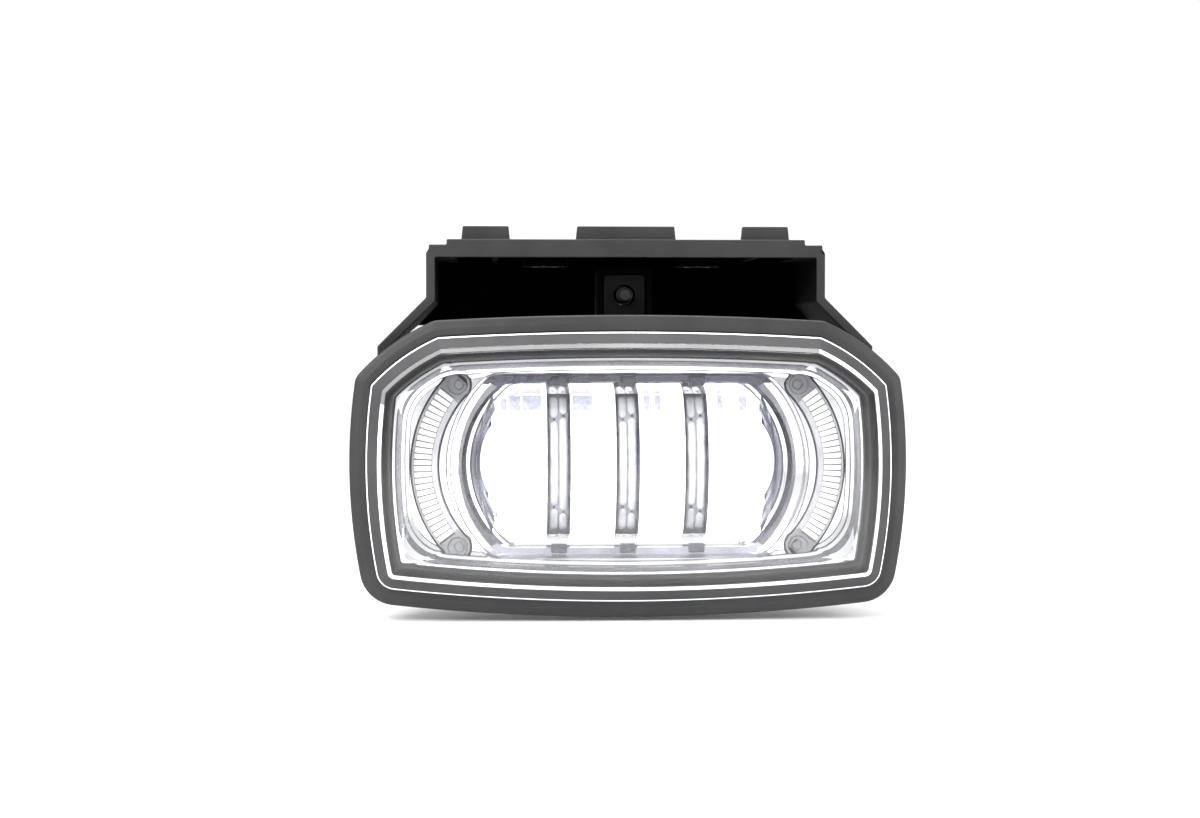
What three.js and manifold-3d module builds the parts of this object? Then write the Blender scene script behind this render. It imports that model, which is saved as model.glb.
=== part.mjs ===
// LED fog lamp for a heavy vehicle's bumper: a sealed lamp that tilts inside a moulded hood
// bracket and is aimed by a screw with a knob. Millimetres, +Z up, the light leaves along -Y.
// The origin is the middle of the bracket deck's top face, which lies against the bumper.
// Places below are worked out in the lamp's own frame: X to the right, Y back from the rim's
// front face, Z up from the middle of the lens. One group at the end moves them to the origin.
import * as THREE from 'three';
import { mergeVertices } from 'three/addons/utils/BufferGeometryUtils.js';
import { LoftGeometry } from 'three/addons/geometries/LoftGeometry.js';
import Module from 'manifold-3d';

// ---------------------------------------------------------------- driving dimensions

// Lamp front
const lampWidth = 200;
const lampHeight = 108.6;
const chamferRun = 28;
const chamferDrop = 20.3;
const sideLean = 3.5;
const bow = { top: 2.1, chamfer: 2, side: 3.9, bottom: 5.9 };
const cornerRadius = { top: 6, side: 6, bottom: 13 };
const sharpestCorner = 1.5;

// Gaps between pieces that touch or slide
const fitGap = 0.3;
const looseGap = 0.6;

// How far a cut runs past the face it opens, and a joined shape runs into its neighbour
const past = 1;

// Housing
const rimEdge = 5.9;
const rimDepth = 8;
const rimRound = 1.2;
const channelWidth = 4.7;
const channelDepth = 6;
const lipWidth = 4.6;
const lipSetback = 1;
const shoulderInset = 13;
const bodyInset = 16.5;
const bodyRearInset = 18;
const bodyStart = 24;
const cavityStep = 1;
const housingDepth = 48;
const housingWall = 2.4;
const rearWall = 3;

// Lens
const lensWall = 2.3;
const skirtDepth = 4.4;
const lensShoulder = 2.9;
const lensRound = 0.6;
const lensChamfer = 4;
const lensStepRun = 1.9;
const lensStepRise = 2.6;
const domeRise = 2.4;
const domeRings = [0.75, 0.35];
const sealHeight = 1;

// Chrome bezel and its bowl
const bezelFloor = 7.5;
const bezelFront = -0.8;
const bezelWall = 2;
const bezelSideRun = 3.1;
const collarEnd = 22;
const bowlStep = 12;
const bowlWall = 1.2;
const bowlTopMargin = 21.3;
const bowlEndAngle = THREE.MathUtils.degToRad(48.9);
const bowlCorner = 10;
const bowlStepWidth = 3.5;
const bowlStepEnd = 6;
const bezelLeg = { x: 30, radius: 2.2 };

// Daytime running light arcs
const drlInset = 26.5;
const drlToBowl = 8.6;
const drlEndMargin = 3.8;
const drlHalfAngle = THREE.MathUtils.degToRad(44);
const drlSlot = 4.9;
const drlTrayWall = 0.5;
const drlPad = 4;
const drlTrayFront = 6.8;
const drlTrayDepth = 8.2;
const drlFlange = { extra: 0.8, depth: 1.4, span: 0.75 };
const drlGuideDepth = 5;
const drlGuideFront = 6.2;
const drlRib = { count: 12, depth: 0.5 };

// Main optic, its board and its screws
const opticEndRoom = 17.4;
const opticEndBow = 5.4;
const opticCorner = 4;
const opticHeightRoom = 7;
const opticMargin = 1.7;
const opticCells = 4;
const opticBar = 8.6;
const opticGroove = 3;
const opticFront = 8.2;
const opticBarrel = 36;
const opticEar = { clear: 0.9, down: 7, radius: 3.6, depth: 1.8, arm: 2.5 };
const ledPocket = { width: 9, depth: 3.4 };
const led = { width: 6, depth: 1, dome: 2.4, sunk: 0.2 };
const boardFront = 26.5;
const boardDepth = 1.6;
const boardEdge = 2.9;
const padDepth = 0.8;

// Heat sink
const pedestalEdge = 1;
const sinkPlate = 3;
const sinkGasket = 1;
const sinkScrewRoom = 4.4;
const sinkEdge = 4;
const sinkBossRadius = 3.6;
const sinkBossDepth = 7;
const sinkBossFloor = 2;
const plateBow = 0.5;
const plateCorner = 5;
const finDepth = 19.4;
const finThickness = 2;
const finPitch = 9;
const finFloor = 4.5;
const sinkPilot = 7;

// Driver board, connector and vent
const driver = { width: 17, room: 4.6, front: 38, depth: 1.6, shift: 1.8 };
const driverPost = { radius: 3, floor: 1 };
const connector = { width: 16, height: 25, wall: 2, depth: 20 };
const latchRail = { halfWidth: 3, setback: 3, height: 1.6 };
const connectorFlange = { extra: 1, depth: 2.2 };
const gasketDepth = 1;
const pin = { size: 1.2, pitchX: 5, pitchZ: 9, end: 60 };
const vent = { z: 12, radius: 6.5, neck: 3.2, bore: 1.6, cap: 4, duct: 0.8, membrane: 0.8 };
const leadRadius = 0.8;

// Tilt pivot and aiming screw
const pivotDepth = 40;
const armInset = 12.5;
const armWall = 3.5;
const pivotBossWall = 5;
const pivotBossGap = 0.5;
const shoulderRadius = 3;
const pivotThread = { radius: 2.4, length: 5.6 };
const pivotHead = { width: 3, depth: 3.4, socket: 2.3, socketDepth: 2 };
const bush = { wall: 1.7, flange: 1.8, flangeDepth: 1.2 };
const adjusterRise = 7.7;
const adjusterRadius = 3;
const adjusterStart = 27;
const nut = { wall: 2.1, flange: 1.5, flangeDepth: 1.8, barb: 0.8, barbDepth: 1.2, play: 0.9 };
const lug = { front: 34, back: 46, wall: 4 };
const gusset = { width: 3, run: 9, rise: 0.6, clear: 1 };
const collar = { width: 3, depth: 2 };
const washer = { width: 4, depth: 1 };
const knob = { radius: 9, depth: 8, flutes: 12, fluteRadius: 1.6, socket: 2.5, socketDepth: 5 };

// Hood bracket
const deckHeight = 27.8;
const deckThickness = 3;
const bracketFront = 18;
const bracketBack = 81;
const frontLip = { depth: 3, height: 6.6 };
const sideWall = 3.3;
const flare = 17.8;
const flareTop = 6.5;
const cornerNotch = { width: 7.5, drop: 3.6, round: 2 };
const rearWallDepth = 3;
const rearWallFoot = 50;
const adjusterBoss = { wall: 4.4, depth: 4 };
const armEndWall = 8.7;
const armFootFront = 46;
const armFootBack = 52;
const armFootStep = 2;
const tabHeight = 5;
const tabDepth = 3;
const tabs = [{ x: -51.5, width: 18 }, { x: 0, width: 37 }, { x: 51.5, width: 18 }];
const tabSetback = 4;
const tabTaper = 0.6;
const boltPitch = 58;
const sleeve = { radius: 5.5, bore: 3.5, depth: 9, bossWall: 3.2 };
const ribDepth = 2.2;
const ribs = [-48, 48];

// Screws: head radius and depth, shank radius and length below the head
const screws = {
  board: { head: 2.6, headDepth: 1.6, shank: 1.2, length: 10 },
  sink: { head: 3.4, headDepth: 2.2, shank: 1.6, length: 12 },
  driver: { head: 2.2, headDepth: 1.4, shank: 1, length: 5 },
  drl: { head: 2, headDepth: 1.4, shank: 1, length: 6 },
};

// Steps round a full circle for small, middling and large round pieces
const fine = { small: 10, medium: 16, large: 24 };
const cornerSteps = 3;
const drlSteps = 10;
const barrelSteps = 10;
const armSteps = 10;
const drlEndSteps = 6;
const plateSteps = 2;
const hexagon = 6;

// ---------------------------------------------------------------- derived places

const halfWidth = lampWidth / 2;
const halfHeight = lampHeight / 2;
const lensEdge = rimEdge + fitGap;
const cavityMouth = rimEdge + channelWidth + lipWidth;
const cavityEnd = housingDepth - rearWall;
const bezelEdge = cavityMouth + fitGap;
const bezelBack = bezelFloor + bezelWall;

const drlMid = halfWidth - drlInset;
const bowlHalfWidth = drlMid - drlToBowl;
const bowlHalfHeight = halfHeight - bowlTopMargin;
const bowlEndBow = bowlHalfHeight * Math.tan(bowlEndAngle / 2);
const drlEndHeight = bowlHalfHeight - drlEndMargin;
const drlRadius = drlEndHeight / Math.sin(drlHalfAngle);
const drlSagitta = drlRadius * (1 - Math.cos(drlHalfAngle));
const drlCentre = drlMid - drlRadius;
const drlBand = drlSlot - fitGap;
const drlChannel = drlBand - drlTrayWall;
const drlBoardFront = drlTrayFront + drlTrayDepth + fitGap;

const opticHalfWidth = bowlHalfWidth - opticEndRoom;
const opticHalfHeight = bowlHalfHeight - opticHeightRoom;
const opticBack = boardFront - fitGap;
const cellPitch = (2 * (opticHalfWidth - opticMargin) + opticBar) / opticCells;
const cellCentres = Array.from({ length: opticCells }, (_, i) => (i - (opticCells - 1) / 2) * cellPitch);
const barCentres = cellCentres.slice(1).map((x) => x - cellPitch / 2);

const boardScrewZ = opticHalfHeight - opticEar.down;
const opticBulge = opticEndBow * (1 - (boardScrewZ / opticHalfHeight) ** 2);
const boardScrewX = opticHalfWidth + opticBulge + screws.board.head + opticEar.clear;
const boardHalfWidth = boardScrewX + boardEdge;
const boardHalfHeight = boardScrewZ + boardEdge + pedestalEdge;
const boardBack = boardFront + boardDepth;
const padHalfWidth = boardScrewX - boardEdge;
const pedestalFront = boardBack + padDepth + 2 * fitGap;
const pedestalHalfWidth = boardHalfWidth + pedestalEdge;
const pedestalHalfHeight = boardHalfHeight + pedestalEdge;
const openingHalfWidth = pedestalHalfWidth + looseGap;
const openingHalfHeight = pedestalHalfHeight + looseGap;
const sinkScrewX = opticHalfWidth + sinkScrewRoom;
const sinkScrewZ = openingHalfHeight + sinkScrewRoom;
const plateHalfWidth = openingHalfWidth + bezelSideRun;
const plateHalfHeight = sinkScrewZ + sinkEdge;
const gasketFront = housingDepth + fitGap;
const plateFront = gasketFront + sinkGasket + fitGap;
const plateBack = plateFront + sinkPlate;

const connectorX = -(plateHalfWidth + connectorFlange.extra + looseGap + connector.width / 2);
const connectorFront = housingDepth + gasketDepth + 2 * fitGap;
const connectorFloor = connectorFront + connectorFlange.depth;
const connectorMouth = connectorFront + connector.depth;
const driverX = connectorX + driver.shift;
const driverHalfHeight = openingHalfHeight - driver.room;
const driverBack = driver.front + driver.depth;
const pinsHalfWidth = pin.pitchX / 2 + pin.size / 2 + fitGap;
const pinsHalfHeight = pin.pitchZ / 2 + pin.size / 2 + fitGap;
const ventX = plateHalfWidth + looseGap + vent.radius;

const armOuter = halfWidth - armInset + armWall;
const armInner = halfWidth - armInset;
const pivotBossEnd = armInner - pivotBossGap;
const bushRadius = shoulderRadius + fitGap + bush.wall;
const bushFlangeStart = armOuter + fitGap;
const pivotHeadStart = bushFlangeStart + bush.flangeDepth + fitGap;
const adjusterZ = halfHeight + adjusterRise;
const deckTop = halfHeight + deckHeight;
const deckUnder = deckTop - deckThickness;
const deckHalfWidth = armOuter - flare;
const deckMiddle = (bracketFront + bracketBack) / 2;
const flareStart = halfHeight + flareTop;
const wallEnd = flareStart - flare;
const adjusterHole = adjusterRadius + looseGap;
const armEndRadius = bushRadius + fitGap + armEndWall;
const nutBore = adjusterRadius + nut.play;
const nutHalf = nutBore + nut.wall;
const nutFlangeHalf = nutHalf + nut.flange;
const lugHalf = nutHalf + fitGap + lug.wall;
const knobStart = bracketBack + washer.depth + 2 * fitGap;

// ---------------------------------------------------------------- solids

const wasm = await Module();
wasm.setup();

// A closed three.js geometry as a solid that can be joined and cut.
function solid(geometry) {
  const bare = new THREE.BufferGeometry();
  bare.setAttribute('position', geometry.attributes.position);
  bare.setIndex(geometry.index);
  const merged = mergeVertices(bare, 1e-4);
  const vertProperties = new Float32Array(merged.attributes.position.array);
  const triVerts = new Uint32Array(merged.index.array);
  return new wasm.Manifold(new wasm.Mesh({ numProp: 3, vertProperties, triVerts }));
}

const inOrder = (a, b) => [Math.min(a, b), Math.max(a, b)];

// Span on the left (-1) or right (+1) side of the middle.
const along = (side, a, b) => inOrder(side * a, side * b);

const join = (...parts) => parts.reduce((sum, part) => sum.add(part));
const cut = (body, ...tools) => tools.reduce((rest, tool) => rest.subtract(tool), body);

// Box between two values on each axis.
function box([x0, x1], [y0, y1], [z0, z1]) {
  const shape = new THREE.BoxGeometry(x1 - x0, y1 - y0, z1 - z0);
  return solid(shape.translate((x0 + x1) / 2, (y0 + y1) / 2, (z0 + z1) / 2));
}

// Round rod along one axis, between two values on it, through a point given on the other two.
function rod(axis, [a, b], radius, [from, to], steps = fine.medium) {
  const shape = new THREE.CylinderGeometry(radius, radius, to - from, steps);
  const middle = (from + to) / 2;
  if (axis === 'x') return solid(shape.rotateZ(Math.PI / 2).translate(middle, a, b));
  if (axis === 'y') return solid(shape.translate(a, middle, b));
  return solid(shape.rotateX(Math.PI / 2).translate(a, b, middle));
}

// Flat outline run along one axis: [x, z] points along y, [y, z] along x, [x, y] along z.
function prism(axis, outline, [from, to]) {
  const shape = new THREE.Shape(outline.map(([a, b]) => new THREE.Vector2(a, b)));
  const run = new THREE.ExtrudeGeometry(shape, { depth: to - from, bevelEnabled: false });
  if (axis === 'y') return solid(run.rotateX(Math.PI / 2).translate(0, to, 0));
  if (axis === 'z') return solid(run.translate(0, 0, from));
  const turn = new THREE.Matrix4().makeBasis(
    new THREE.Vector3(0, 1, 0), new THREE.Vector3(0, 0, 1), new THREE.Vector3(1, 0, 0));
  return solid(run.applyMatrix4(turn).translate(from, 0, 0));
}

// Skin over outlines that stand across y, listed from the back to the front: [[outline, y], ...].
function skin(levels) {
  const rows = levels.map(([outline, y]) => outline.map(([x, z]) => new THREE.Vector3(x, y, z)));
  return solid(new LoftGeometry(rows, { capStart: true, capEnd: true }));
}

// Round wire through a few points.
function wire(points) {
  const path = new THREE.CatmullRomCurve3(points.map((p) => new THREE.Vector3(...p)));
  const section = new THREE.Shape(circle(leadRadius, 8).map(([a, b]) => new THREE.Vector2(a, b)));
  return solid(new THREE.ExtrudeGeometry(section, { steps: 14, extrudePath: path, bevelEnabled: false }));
}

// ---------------------------------------------------------------- outlines

function circle(radius, steps, [cx, cz] = [0, 0]) {
  const turn = (i) => (i / steps) * 2 * Math.PI;
  return Array.from({ length: steps }, (_, i) => [
    cx + radius * Math.cos(turn(i)),
    cz + radius * Math.sin(turn(i)),
  ]);
}

// Points on an arc, both ends included.
function arc([cx, cz], radius, from, to, steps) {
  return Array.from({ length: steps + 1 }, (_, i) => {
    const turn = from + ((to - from) * i) / steps;
    return [cx + radius * Math.cos(turn), cz + radius * Math.sin(turn)];
  });
}

// The circle that an edge bowed outwards by `rise` lies on, for corners in anticlockwise order.
function edgeCircle(start, end, rise) {
  const [dx, dz] = [end.x - start.x, end.z - start.z];
  const chord = Math.hypot(dx, dz);
  const radius = (chord ** 2 / 4 + rise ** 2) / (2 * rise);
  const reach = (radius - rise) / chord;
  return { x: (start.x + end.x) / 2 - dz * reach, z: (start.z + end.z) / 2 + dx * reach, radius };
}

// The point at given distances from two centres, on the side nearer to `near`.
function meeting(a, b, reachA, reachB, near) {
  const [dx, dz] = [b.x - a.x, b.z - a.z];
  const apart = Math.hypot(dx, dz);
  const along = (apart ** 2 + reachA ** 2 - reachB ** 2) / (2 * apart);
  const across = Math.sqrt(Math.max(reachA ** 2 - along ** 2, 0));
  const options = [1, -1].map((sign) => ({
    x: a.x + (dx * along - sign * dz * across) / apart,
    z: a.z + (dz * along + sign * dx * across) / apart,
  }));
  const far = (p) => Math.hypot(p.x - near.x, p.z - near.z);
  return far(options[0]) < far(options[1]) ? options[0] : options[1];
}

// Outline with bowed edges and rounded corners, moved inwards by `inset`. Each corner gives its
// radius and the bow and steps of the edge that leaves it. Every inset has as many points.
function bowedOutline(corners, inset = 0) {
  const next = (i) => (i + 1) % corners.length;
  const last = (i) => (i + corners.length - 1) % corners.length;
  const edges = corners.map((c, i) => edgeCircle(c, corners[next(i)], c.bow));
  const rounds = corners.map((c, i) => {
    const radius = Math.max(c.radius - inset, sharpestCorner);
    const before = edges[last(i)];
    const after = edges[i];
    const reach = (edge) => edge.radius - inset - radius;
    return { ...meeting(before, after, reach(before), reach(after), c), radius };
  });
  const heading = (from, to) => Math.atan2(to.z - from.z, to.x - from.x);
  const ahead = (from, to) => (to < from - 1e-9 ? to + 2 * Math.PI : to);
  return corners.flatMap((c, i) => {
    const before = heading(edges[last(i)], rounds[i]);
    const after = ahead(before, heading(edges[i], rounds[i]));
    const end = ahead(after, heading(edges[i], rounds[next(i)]));
    const corner = arc([rounds[i].x, rounds[i].z], rounds[i].radius, before, after, cornerSteps);
    const edge = arc([edges[i].x, edges[i].z], edges[i].radius - inset, after, end, c.steps);
    return [...corner, ...edge.slice(1, -1)];
  });
}

// The lamp's front outline, anticlockwise from the lower right corner.
function frontOutline(inset) {
  const sideMid = halfWidth - bow.side;
  const top = halfHeight - bow.top;
  const bottom = bow.bottom - halfHeight;
  const upper = sideMid + sideLean / 2;
  const lower = sideMid - sideLean / 2;
  const { side, chamfer } = bow;
  return bowedOutline([
    { x: lower, z: bottom, radius: cornerRadius.bottom, bow: side, steps: 4 },
    { x: upper, z: top - chamferDrop, radius: cornerRadius.side, bow: chamfer, steps: 3 },
    { x: upper - chamferRun, z: top, radius: cornerRadius.top, bow: bow.top, steps: 4 },
    { x: chamferRun - upper, z: top, radius: cornerRadius.top, bow: chamfer, steps: 3 },
    { x: -upper, z: top - chamferDrop, radius: cornerRadius.side, bow: side, steps: 4 },
    { x: -lower, z: bottom, radius: cornerRadius.bottom, bow: bow.bottom, steps: 7 },
  ], inset);
}

// Racetrack outline: nearly flat top and bottom, bowed ends.
function racetrack(width, height, endBow, radius, steps = 6) {
  const flat = 0.1;
  const x = width - endBow;
  return bowedOutline([
    { x, z: -height, radius, bow: endBow, steps },
    { x, z: height, radius, bow: flat, steps: 1 },
    { x: -x, z: height, radius, bow: endBow, steps },
    { x: -x, z: -height, radius, bow: flat, steps: 1 },
  ]);
}

const ringLevels = (pairs) => pairs.map(([inset, y]) => [frontOutline(inset), y]);
const shrink = (outline, share) => outline.map(([x, z]) => [x * share, z * share]);

// Band along a running-light arc, `half` wide each way, round at its ends if asked.
function drlOutline(side, half, angle, round = false) {
  const centre = [0, 0];
  const outer = arc(centre, drlRadius + half, -angle, angle, drlSteps);
  const inner = arc(centre, drlRadius - half, angle, -angle, drlSteps);
  const end = (turn, from) => {
    const middle = [drlRadius * Math.cos(turn), drlRadius * Math.sin(turn)];
    return arc(middle, half, from, from + Math.PI, drlEndSteps).slice(1, -1);
  };
  const points = round
    ? [...outer, ...end(angle, angle), ...inner, ...end(-angle, Math.PI - angle)]
    : [...outer, ...inner];
  return points.map(([x, z]) => [side * (drlCentre + x), z]);
}

const drlEnds = (side) => [1, -1].map((up) => [side * (drlMid - drlSagitta), up * drlEndHeight]);

// ---------------------------------------------------------------- lamp: housing and lens

function rearHousing() {
  const shell = skin(ringLevels([
    [bodyRearInset, housingDepth],
    [bodyInset, bodyStart],
    [shoulderInset, rimDepth],
    [0, rimDepth],
    [0, rimRound],
    [rimRound, 0],
  ]));
  const cavity = skin(ringLevels([
    [bodyRearInset + housingWall, cavityEnd],
    [bodyInset + housingWall, bodyStart + cavityStep],
    [cavityMouth, rimDepth],
    [cavityMouth, -past],
  ]));
  const recess = skin(ringLevels([[rimEdge, lipSetback], [rimEdge, -past]]));
  const channel = cut(
    skin(ringLevels([[rimEdge, channelDepth], [rimEdge, 0]])),
    skin(ringLevels([
      [rimEdge + channelWidth, channelDepth + past],
      [rimEdge + channelWidth, -past],
    ])));
  const open = cut(shell, cavity, recess, channel);
  return cut(join(open, ...housingAdditions()), ...housingHoles());
}

const corners = (x, z) => [[x, z], [-x, z], [-x, -z], [x, -z]];
const driverPostZ = pinsHalfHeight + looseGap + driverPost.radius;
const driverPosts = () => [1, -1].map((up) => [driverX, up * driverPostZ]);

// Screw bosses, driver board posts, pivot bosses and the lug that carries the aiming nut.
function housingAdditions() {
  const sinkBosses = corners(sinkScrewX, sinkScrewZ).map((at) =>
    rod('y', at, sinkBossRadius, [cavityEnd - sinkBossDepth, cavityEnd + past], fine.small));
  const posts = driverPosts().map((at) =>
    rod('y', at, driverPost.radius, [driverBack + fitGap, cavityEnd + past], fine.small));
  const pivotBosses = [1, -1].map((side) => {
    const ends = along(side, halfWidth - bodyRearInset - past, pivotBossEnd);
    return rod('x', [pivotDepth, 0], shoulderRadius + pivotBossWall, ends, fine.medium);
  });
  const lugTop = adjusterZ + nutHalf + fitGap + lug.wall;
  const lugFoot = halfHeight - bodyRearInset - past;
  const body = box([-lugHalf, lugHalf], [lug.front, lug.back], [lugFoot, lugTop]);
  const gussets = [1, -1].map((side) => {
    const x = along(side, lugHalf - gusset.width, lugHalf);
    const foot = lugFoot + gusset.rise;
    const top = adjusterZ - nutFlangeHalf - gusset.clear;
    return prism('x', [[lug.front - gusset.run, foot], [lug.back, foot], [lug.back, top],
      [lug.front, top]], x);
  });
  return [...sinkBosses, ...posts, ...pivotBosses, body, ...gussets];
}

// Openings for the heat sink, screws, pivot screws, connector pins, vent and aiming nut.
function housingHoles() {
  const through = [cavityEnd - past, housingDepth + past];
  const opening = box([-openingHalfWidth, openingHalfWidth], through,
    [-openingHalfHeight, openingHalfHeight]);
  const sinkPilots = corners(sinkScrewX, sinkScrewZ).map((at) =>
    rod('y', at, screws.sink.shank + fitGap,
      [cavityEnd - sinkBossDepth + sinkBossFloor, housingDepth + past], fine.small));
  const postPilots = driverPosts().map((at) =>
    rod('y', at, screws.driver.shank + fitGap, [driver.front, cavityEnd - driverPost.floor],
      fine.small));
  const pivots = [1, -1].map((side) => {
    const deep = pivotBossEnd - pivotThread.length;
    const ends = along(side, deep, pivotBossEnd + past);
    return rod('x', [pivotDepth, 0], pivotThread.radius + fitGap, ends, fine.small);
  });
  const window = nutHalf + fitGap;
  const nutWindow = box([-window, window], [lug.front - past, lug.back + past],
    [adjusterZ - window, adjusterZ + window]);
  const pins = box([connectorX - pinsHalfWidth, connectorX + pinsHalfWidth], through,
    [-pinsHalfHeight, pinsHalfHeight]);
  const breather = rod('y', [ventX, vent.z], vent.neck + fitGap, through);
  return [opening, ...sinkPilots, ...postPilots, ...pivots, nutWindow, pins, breather];
}

// The lens's outer surface from its skirt to the dome, as [inset, y], back to front.
function lensProfile() {
  const chamferInner = lensEdge + lensChamfer;
  const stepStart = -lensShoulder - lensChamfer;
  const stepEnd = stepStart - lensStepRise;
  return [
    [lensEdge, skirtDepth],
    [lensEdge, -lensShoulder],
    [chamferInner, stepStart],
    [chamferInner + lensStepRun, stepEnd],
    [chamferInner + lensStepRun + lensRound, stepEnd - lensRound],
  ];
}

// One face of the lens, moved inwards and back by `offset`, with its shallow dome.
function lensFace(offset) {
  const profile = lensProfile().map(([inset, y]) => [inset + offset, y + offset]);
  const [edge, top] = profile[profile.length - 1];
  const rim = frontOutline(edge);
  const dome = domeRings.map((share) => [shrink(rim, share), top - domeRise * (1 - share ** 2)]);
  return skin([...ringLevels(profile), ...dome]);
}

const outerLens = () => cut(lensFace(0), lensFace(lensWall));

function lensSeal() {
  const back = channelDepth - fitGap;
  const outer = ringLevels([[lensEdge, back], [lensEdge, back - sealHeight]]);
  const innerEdge = rimEdge + channelWidth - fitGap;
  const inner = ringLevels([[innerEdge, back + past], [innerEdge, back - sealHeight - past]]);
  return cut(skin(outer), skin(inner));
}

// ---------------------------------------------------------------- lamp: bezel and running lights

const bowlOutline = (smaller, endSmaller = smaller) => racetrack(
  bowlHalfWidth - endSmaller, bowlHalfHeight - smaller, bowlEndBow, bowlCorner - smaller);

function reflectorBezel() {
  const outside = skin(ringLevels([
    [bezelEdge + bezelSideRun + bezelWall, bezelBack],
    [bezelEdge + bezelWall / 2, bezelFloor],
    [bezelEdge, bezelFront],
  ]));
  const tray = skin(ringLevels([
    [bezelEdge + bezelSideRun, bezelFloor],
    [bezelEdge + bezelSideRun - lensRound, bezelFloor - lensRound],
    [bezelEdge + bezelWall - lensRound, bezelFront - past],
  ]));
  const stepBack = bowlStep + bowlWall;
  const bowl = prism('y', bowlOutline(-bowlWall), [bezelBack - past, stepBack]);
  const collarTube = prism('y', bowlOutline(bowlStepWidth - bowlWall, bowlStepEnd - bowlWall),
    [bowlStep, collarEnd]);
  const legs = corners(bezelLeg.x, bowlHalfHeight - bowlStepWidth + bezelLeg.radius / 2).map((at) =>
    rod('y', at, bezelLeg.radius, [stepBack - past, cavityEnd - fitGap], fine.small));
  const wide = prism('y', bowlOutline(0), [bezelFront - past, bowlStep]);
  const narrow = prism('y', bowlOutline(bowlStepWidth, bowlStepEnd),
    [bowlStep - past, collarEnd + past]);
  const slots = [1, -1].map((side) =>
    prism('y', drlOutline(side, drlSlot, drlHalfAngle, true), [bezelFloor - past, bezelBack + past]));
  return cut(join(cut(outside, tray), bowl, collarTube, ...legs), wide, narrow, ...slots);
}

// Grey tray with a round pad at each end and a channel for the light guide.
function drlTray(side) {
  const back = drlTrayFront + drlTrayDepth;
  const flangeFront = bezelBack + fitGap;
  const band = prism('y', drlOutline(side, drlBand, drlHalfAngle, true), [drlTrayFront, back]);
  const flangeOutline = drlOutline(side, drlSlot + drlFlange.extra, drlHalfAngle * drlFlange.span);
  const flange = prism('y', flangeOutline, [flangeFront, flangeFront + drlFlange.depth]);
  const channelAngle = drlHalfAngle - (drlPad + drlTrayWall) / drlRadius;
  const channel = prism('y', drlOutline(side, drlChannel, channelAngle),
    [drlTrayFront - past, back + past]);
  const pilots = drlEnds(side).map((at) =>
    rod('y', at, screws.drl.shank + fitGap, [back - screws.drl.length, back + past], fine.small));
  return cut(join(band, flange), channel, ...pilots);
}

// Clear guide with ribs across its face, standing in the tray's channel.
function drlGuide(side) {
  const angle = drlHalfAngle - (drlPad + drlTrayWall + fitGap) / drlRadius;
  const half = drlChannel - fitGap;
  const back = drlGuideFront + drlGuideDepth;
  const body = prism('y', drlOutline(side, half, angle), [drlGuideFront, back]);
  const grooves = Array.from({ length: drlRib.count - 1 }, (_, i) => {
    const turn = angle * ((2 * (i + 1)) / drlRib.count - 1);
    const reach = half + past;
    const away = [Math.cos(turn), Math.sin(turn)];
    const points = [[-reach, -drlRib.depth], [reach, -drlRib.depth], [reach, drlRib.depth],
      [-reach, drlRib.depth]].map(([r, t]) => [
      side * (drlCentre + (drlRadius + r) * away[0] - t * away[1]),
      (drlRadius + r) * away[1] + t * away[0],
    ]);
    return prism('y', points, [drlGuideFront - past, drlGuideFront + drlRib.depth]);
  });
  return cut(body, ...grooves);
}

function drlBoard(side) {
  const plate = prism('y', drlOutline(side, drlBand, drlHalfAngle, true),
    [drlBoardFront, drlBoardFront + boardDepth]);
  const holes = drlEnds(side).map((at) =>
    rod('y', at, screws.drl.shank + looseGap,
      [drlBoardFront - past, drlBoardFront + boardDepth + past], fine.small));
  return cut(plate, ...holes);
}

// Small pan-head screw along y with a square recess: its head rests at `seat` and its shank runs
// from there towards +y or -y.
function panScrew([x, z], seat, towards, { head, headDepth, shank, length }) {
  const start = seat - towards * headDepth;
  const recess = head / 4;
  const neck = seat - (towards * headDepth) / 4;
  const body = join(
    rod('y', [x, z], head, inOrder(start, seat), fine.small),
    rod('y', [x, z], shank, inOrder(neck, seat + towards * length), fine.small));
  return cut(body, box([x - recess, x + recess],
    inOrder(start - towards * past, start + (towards * headDepth) / 2), [z - recess, z + recess]));
}

// ---------------------------------------------------------------- lamp: optic, board, heat sink

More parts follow.
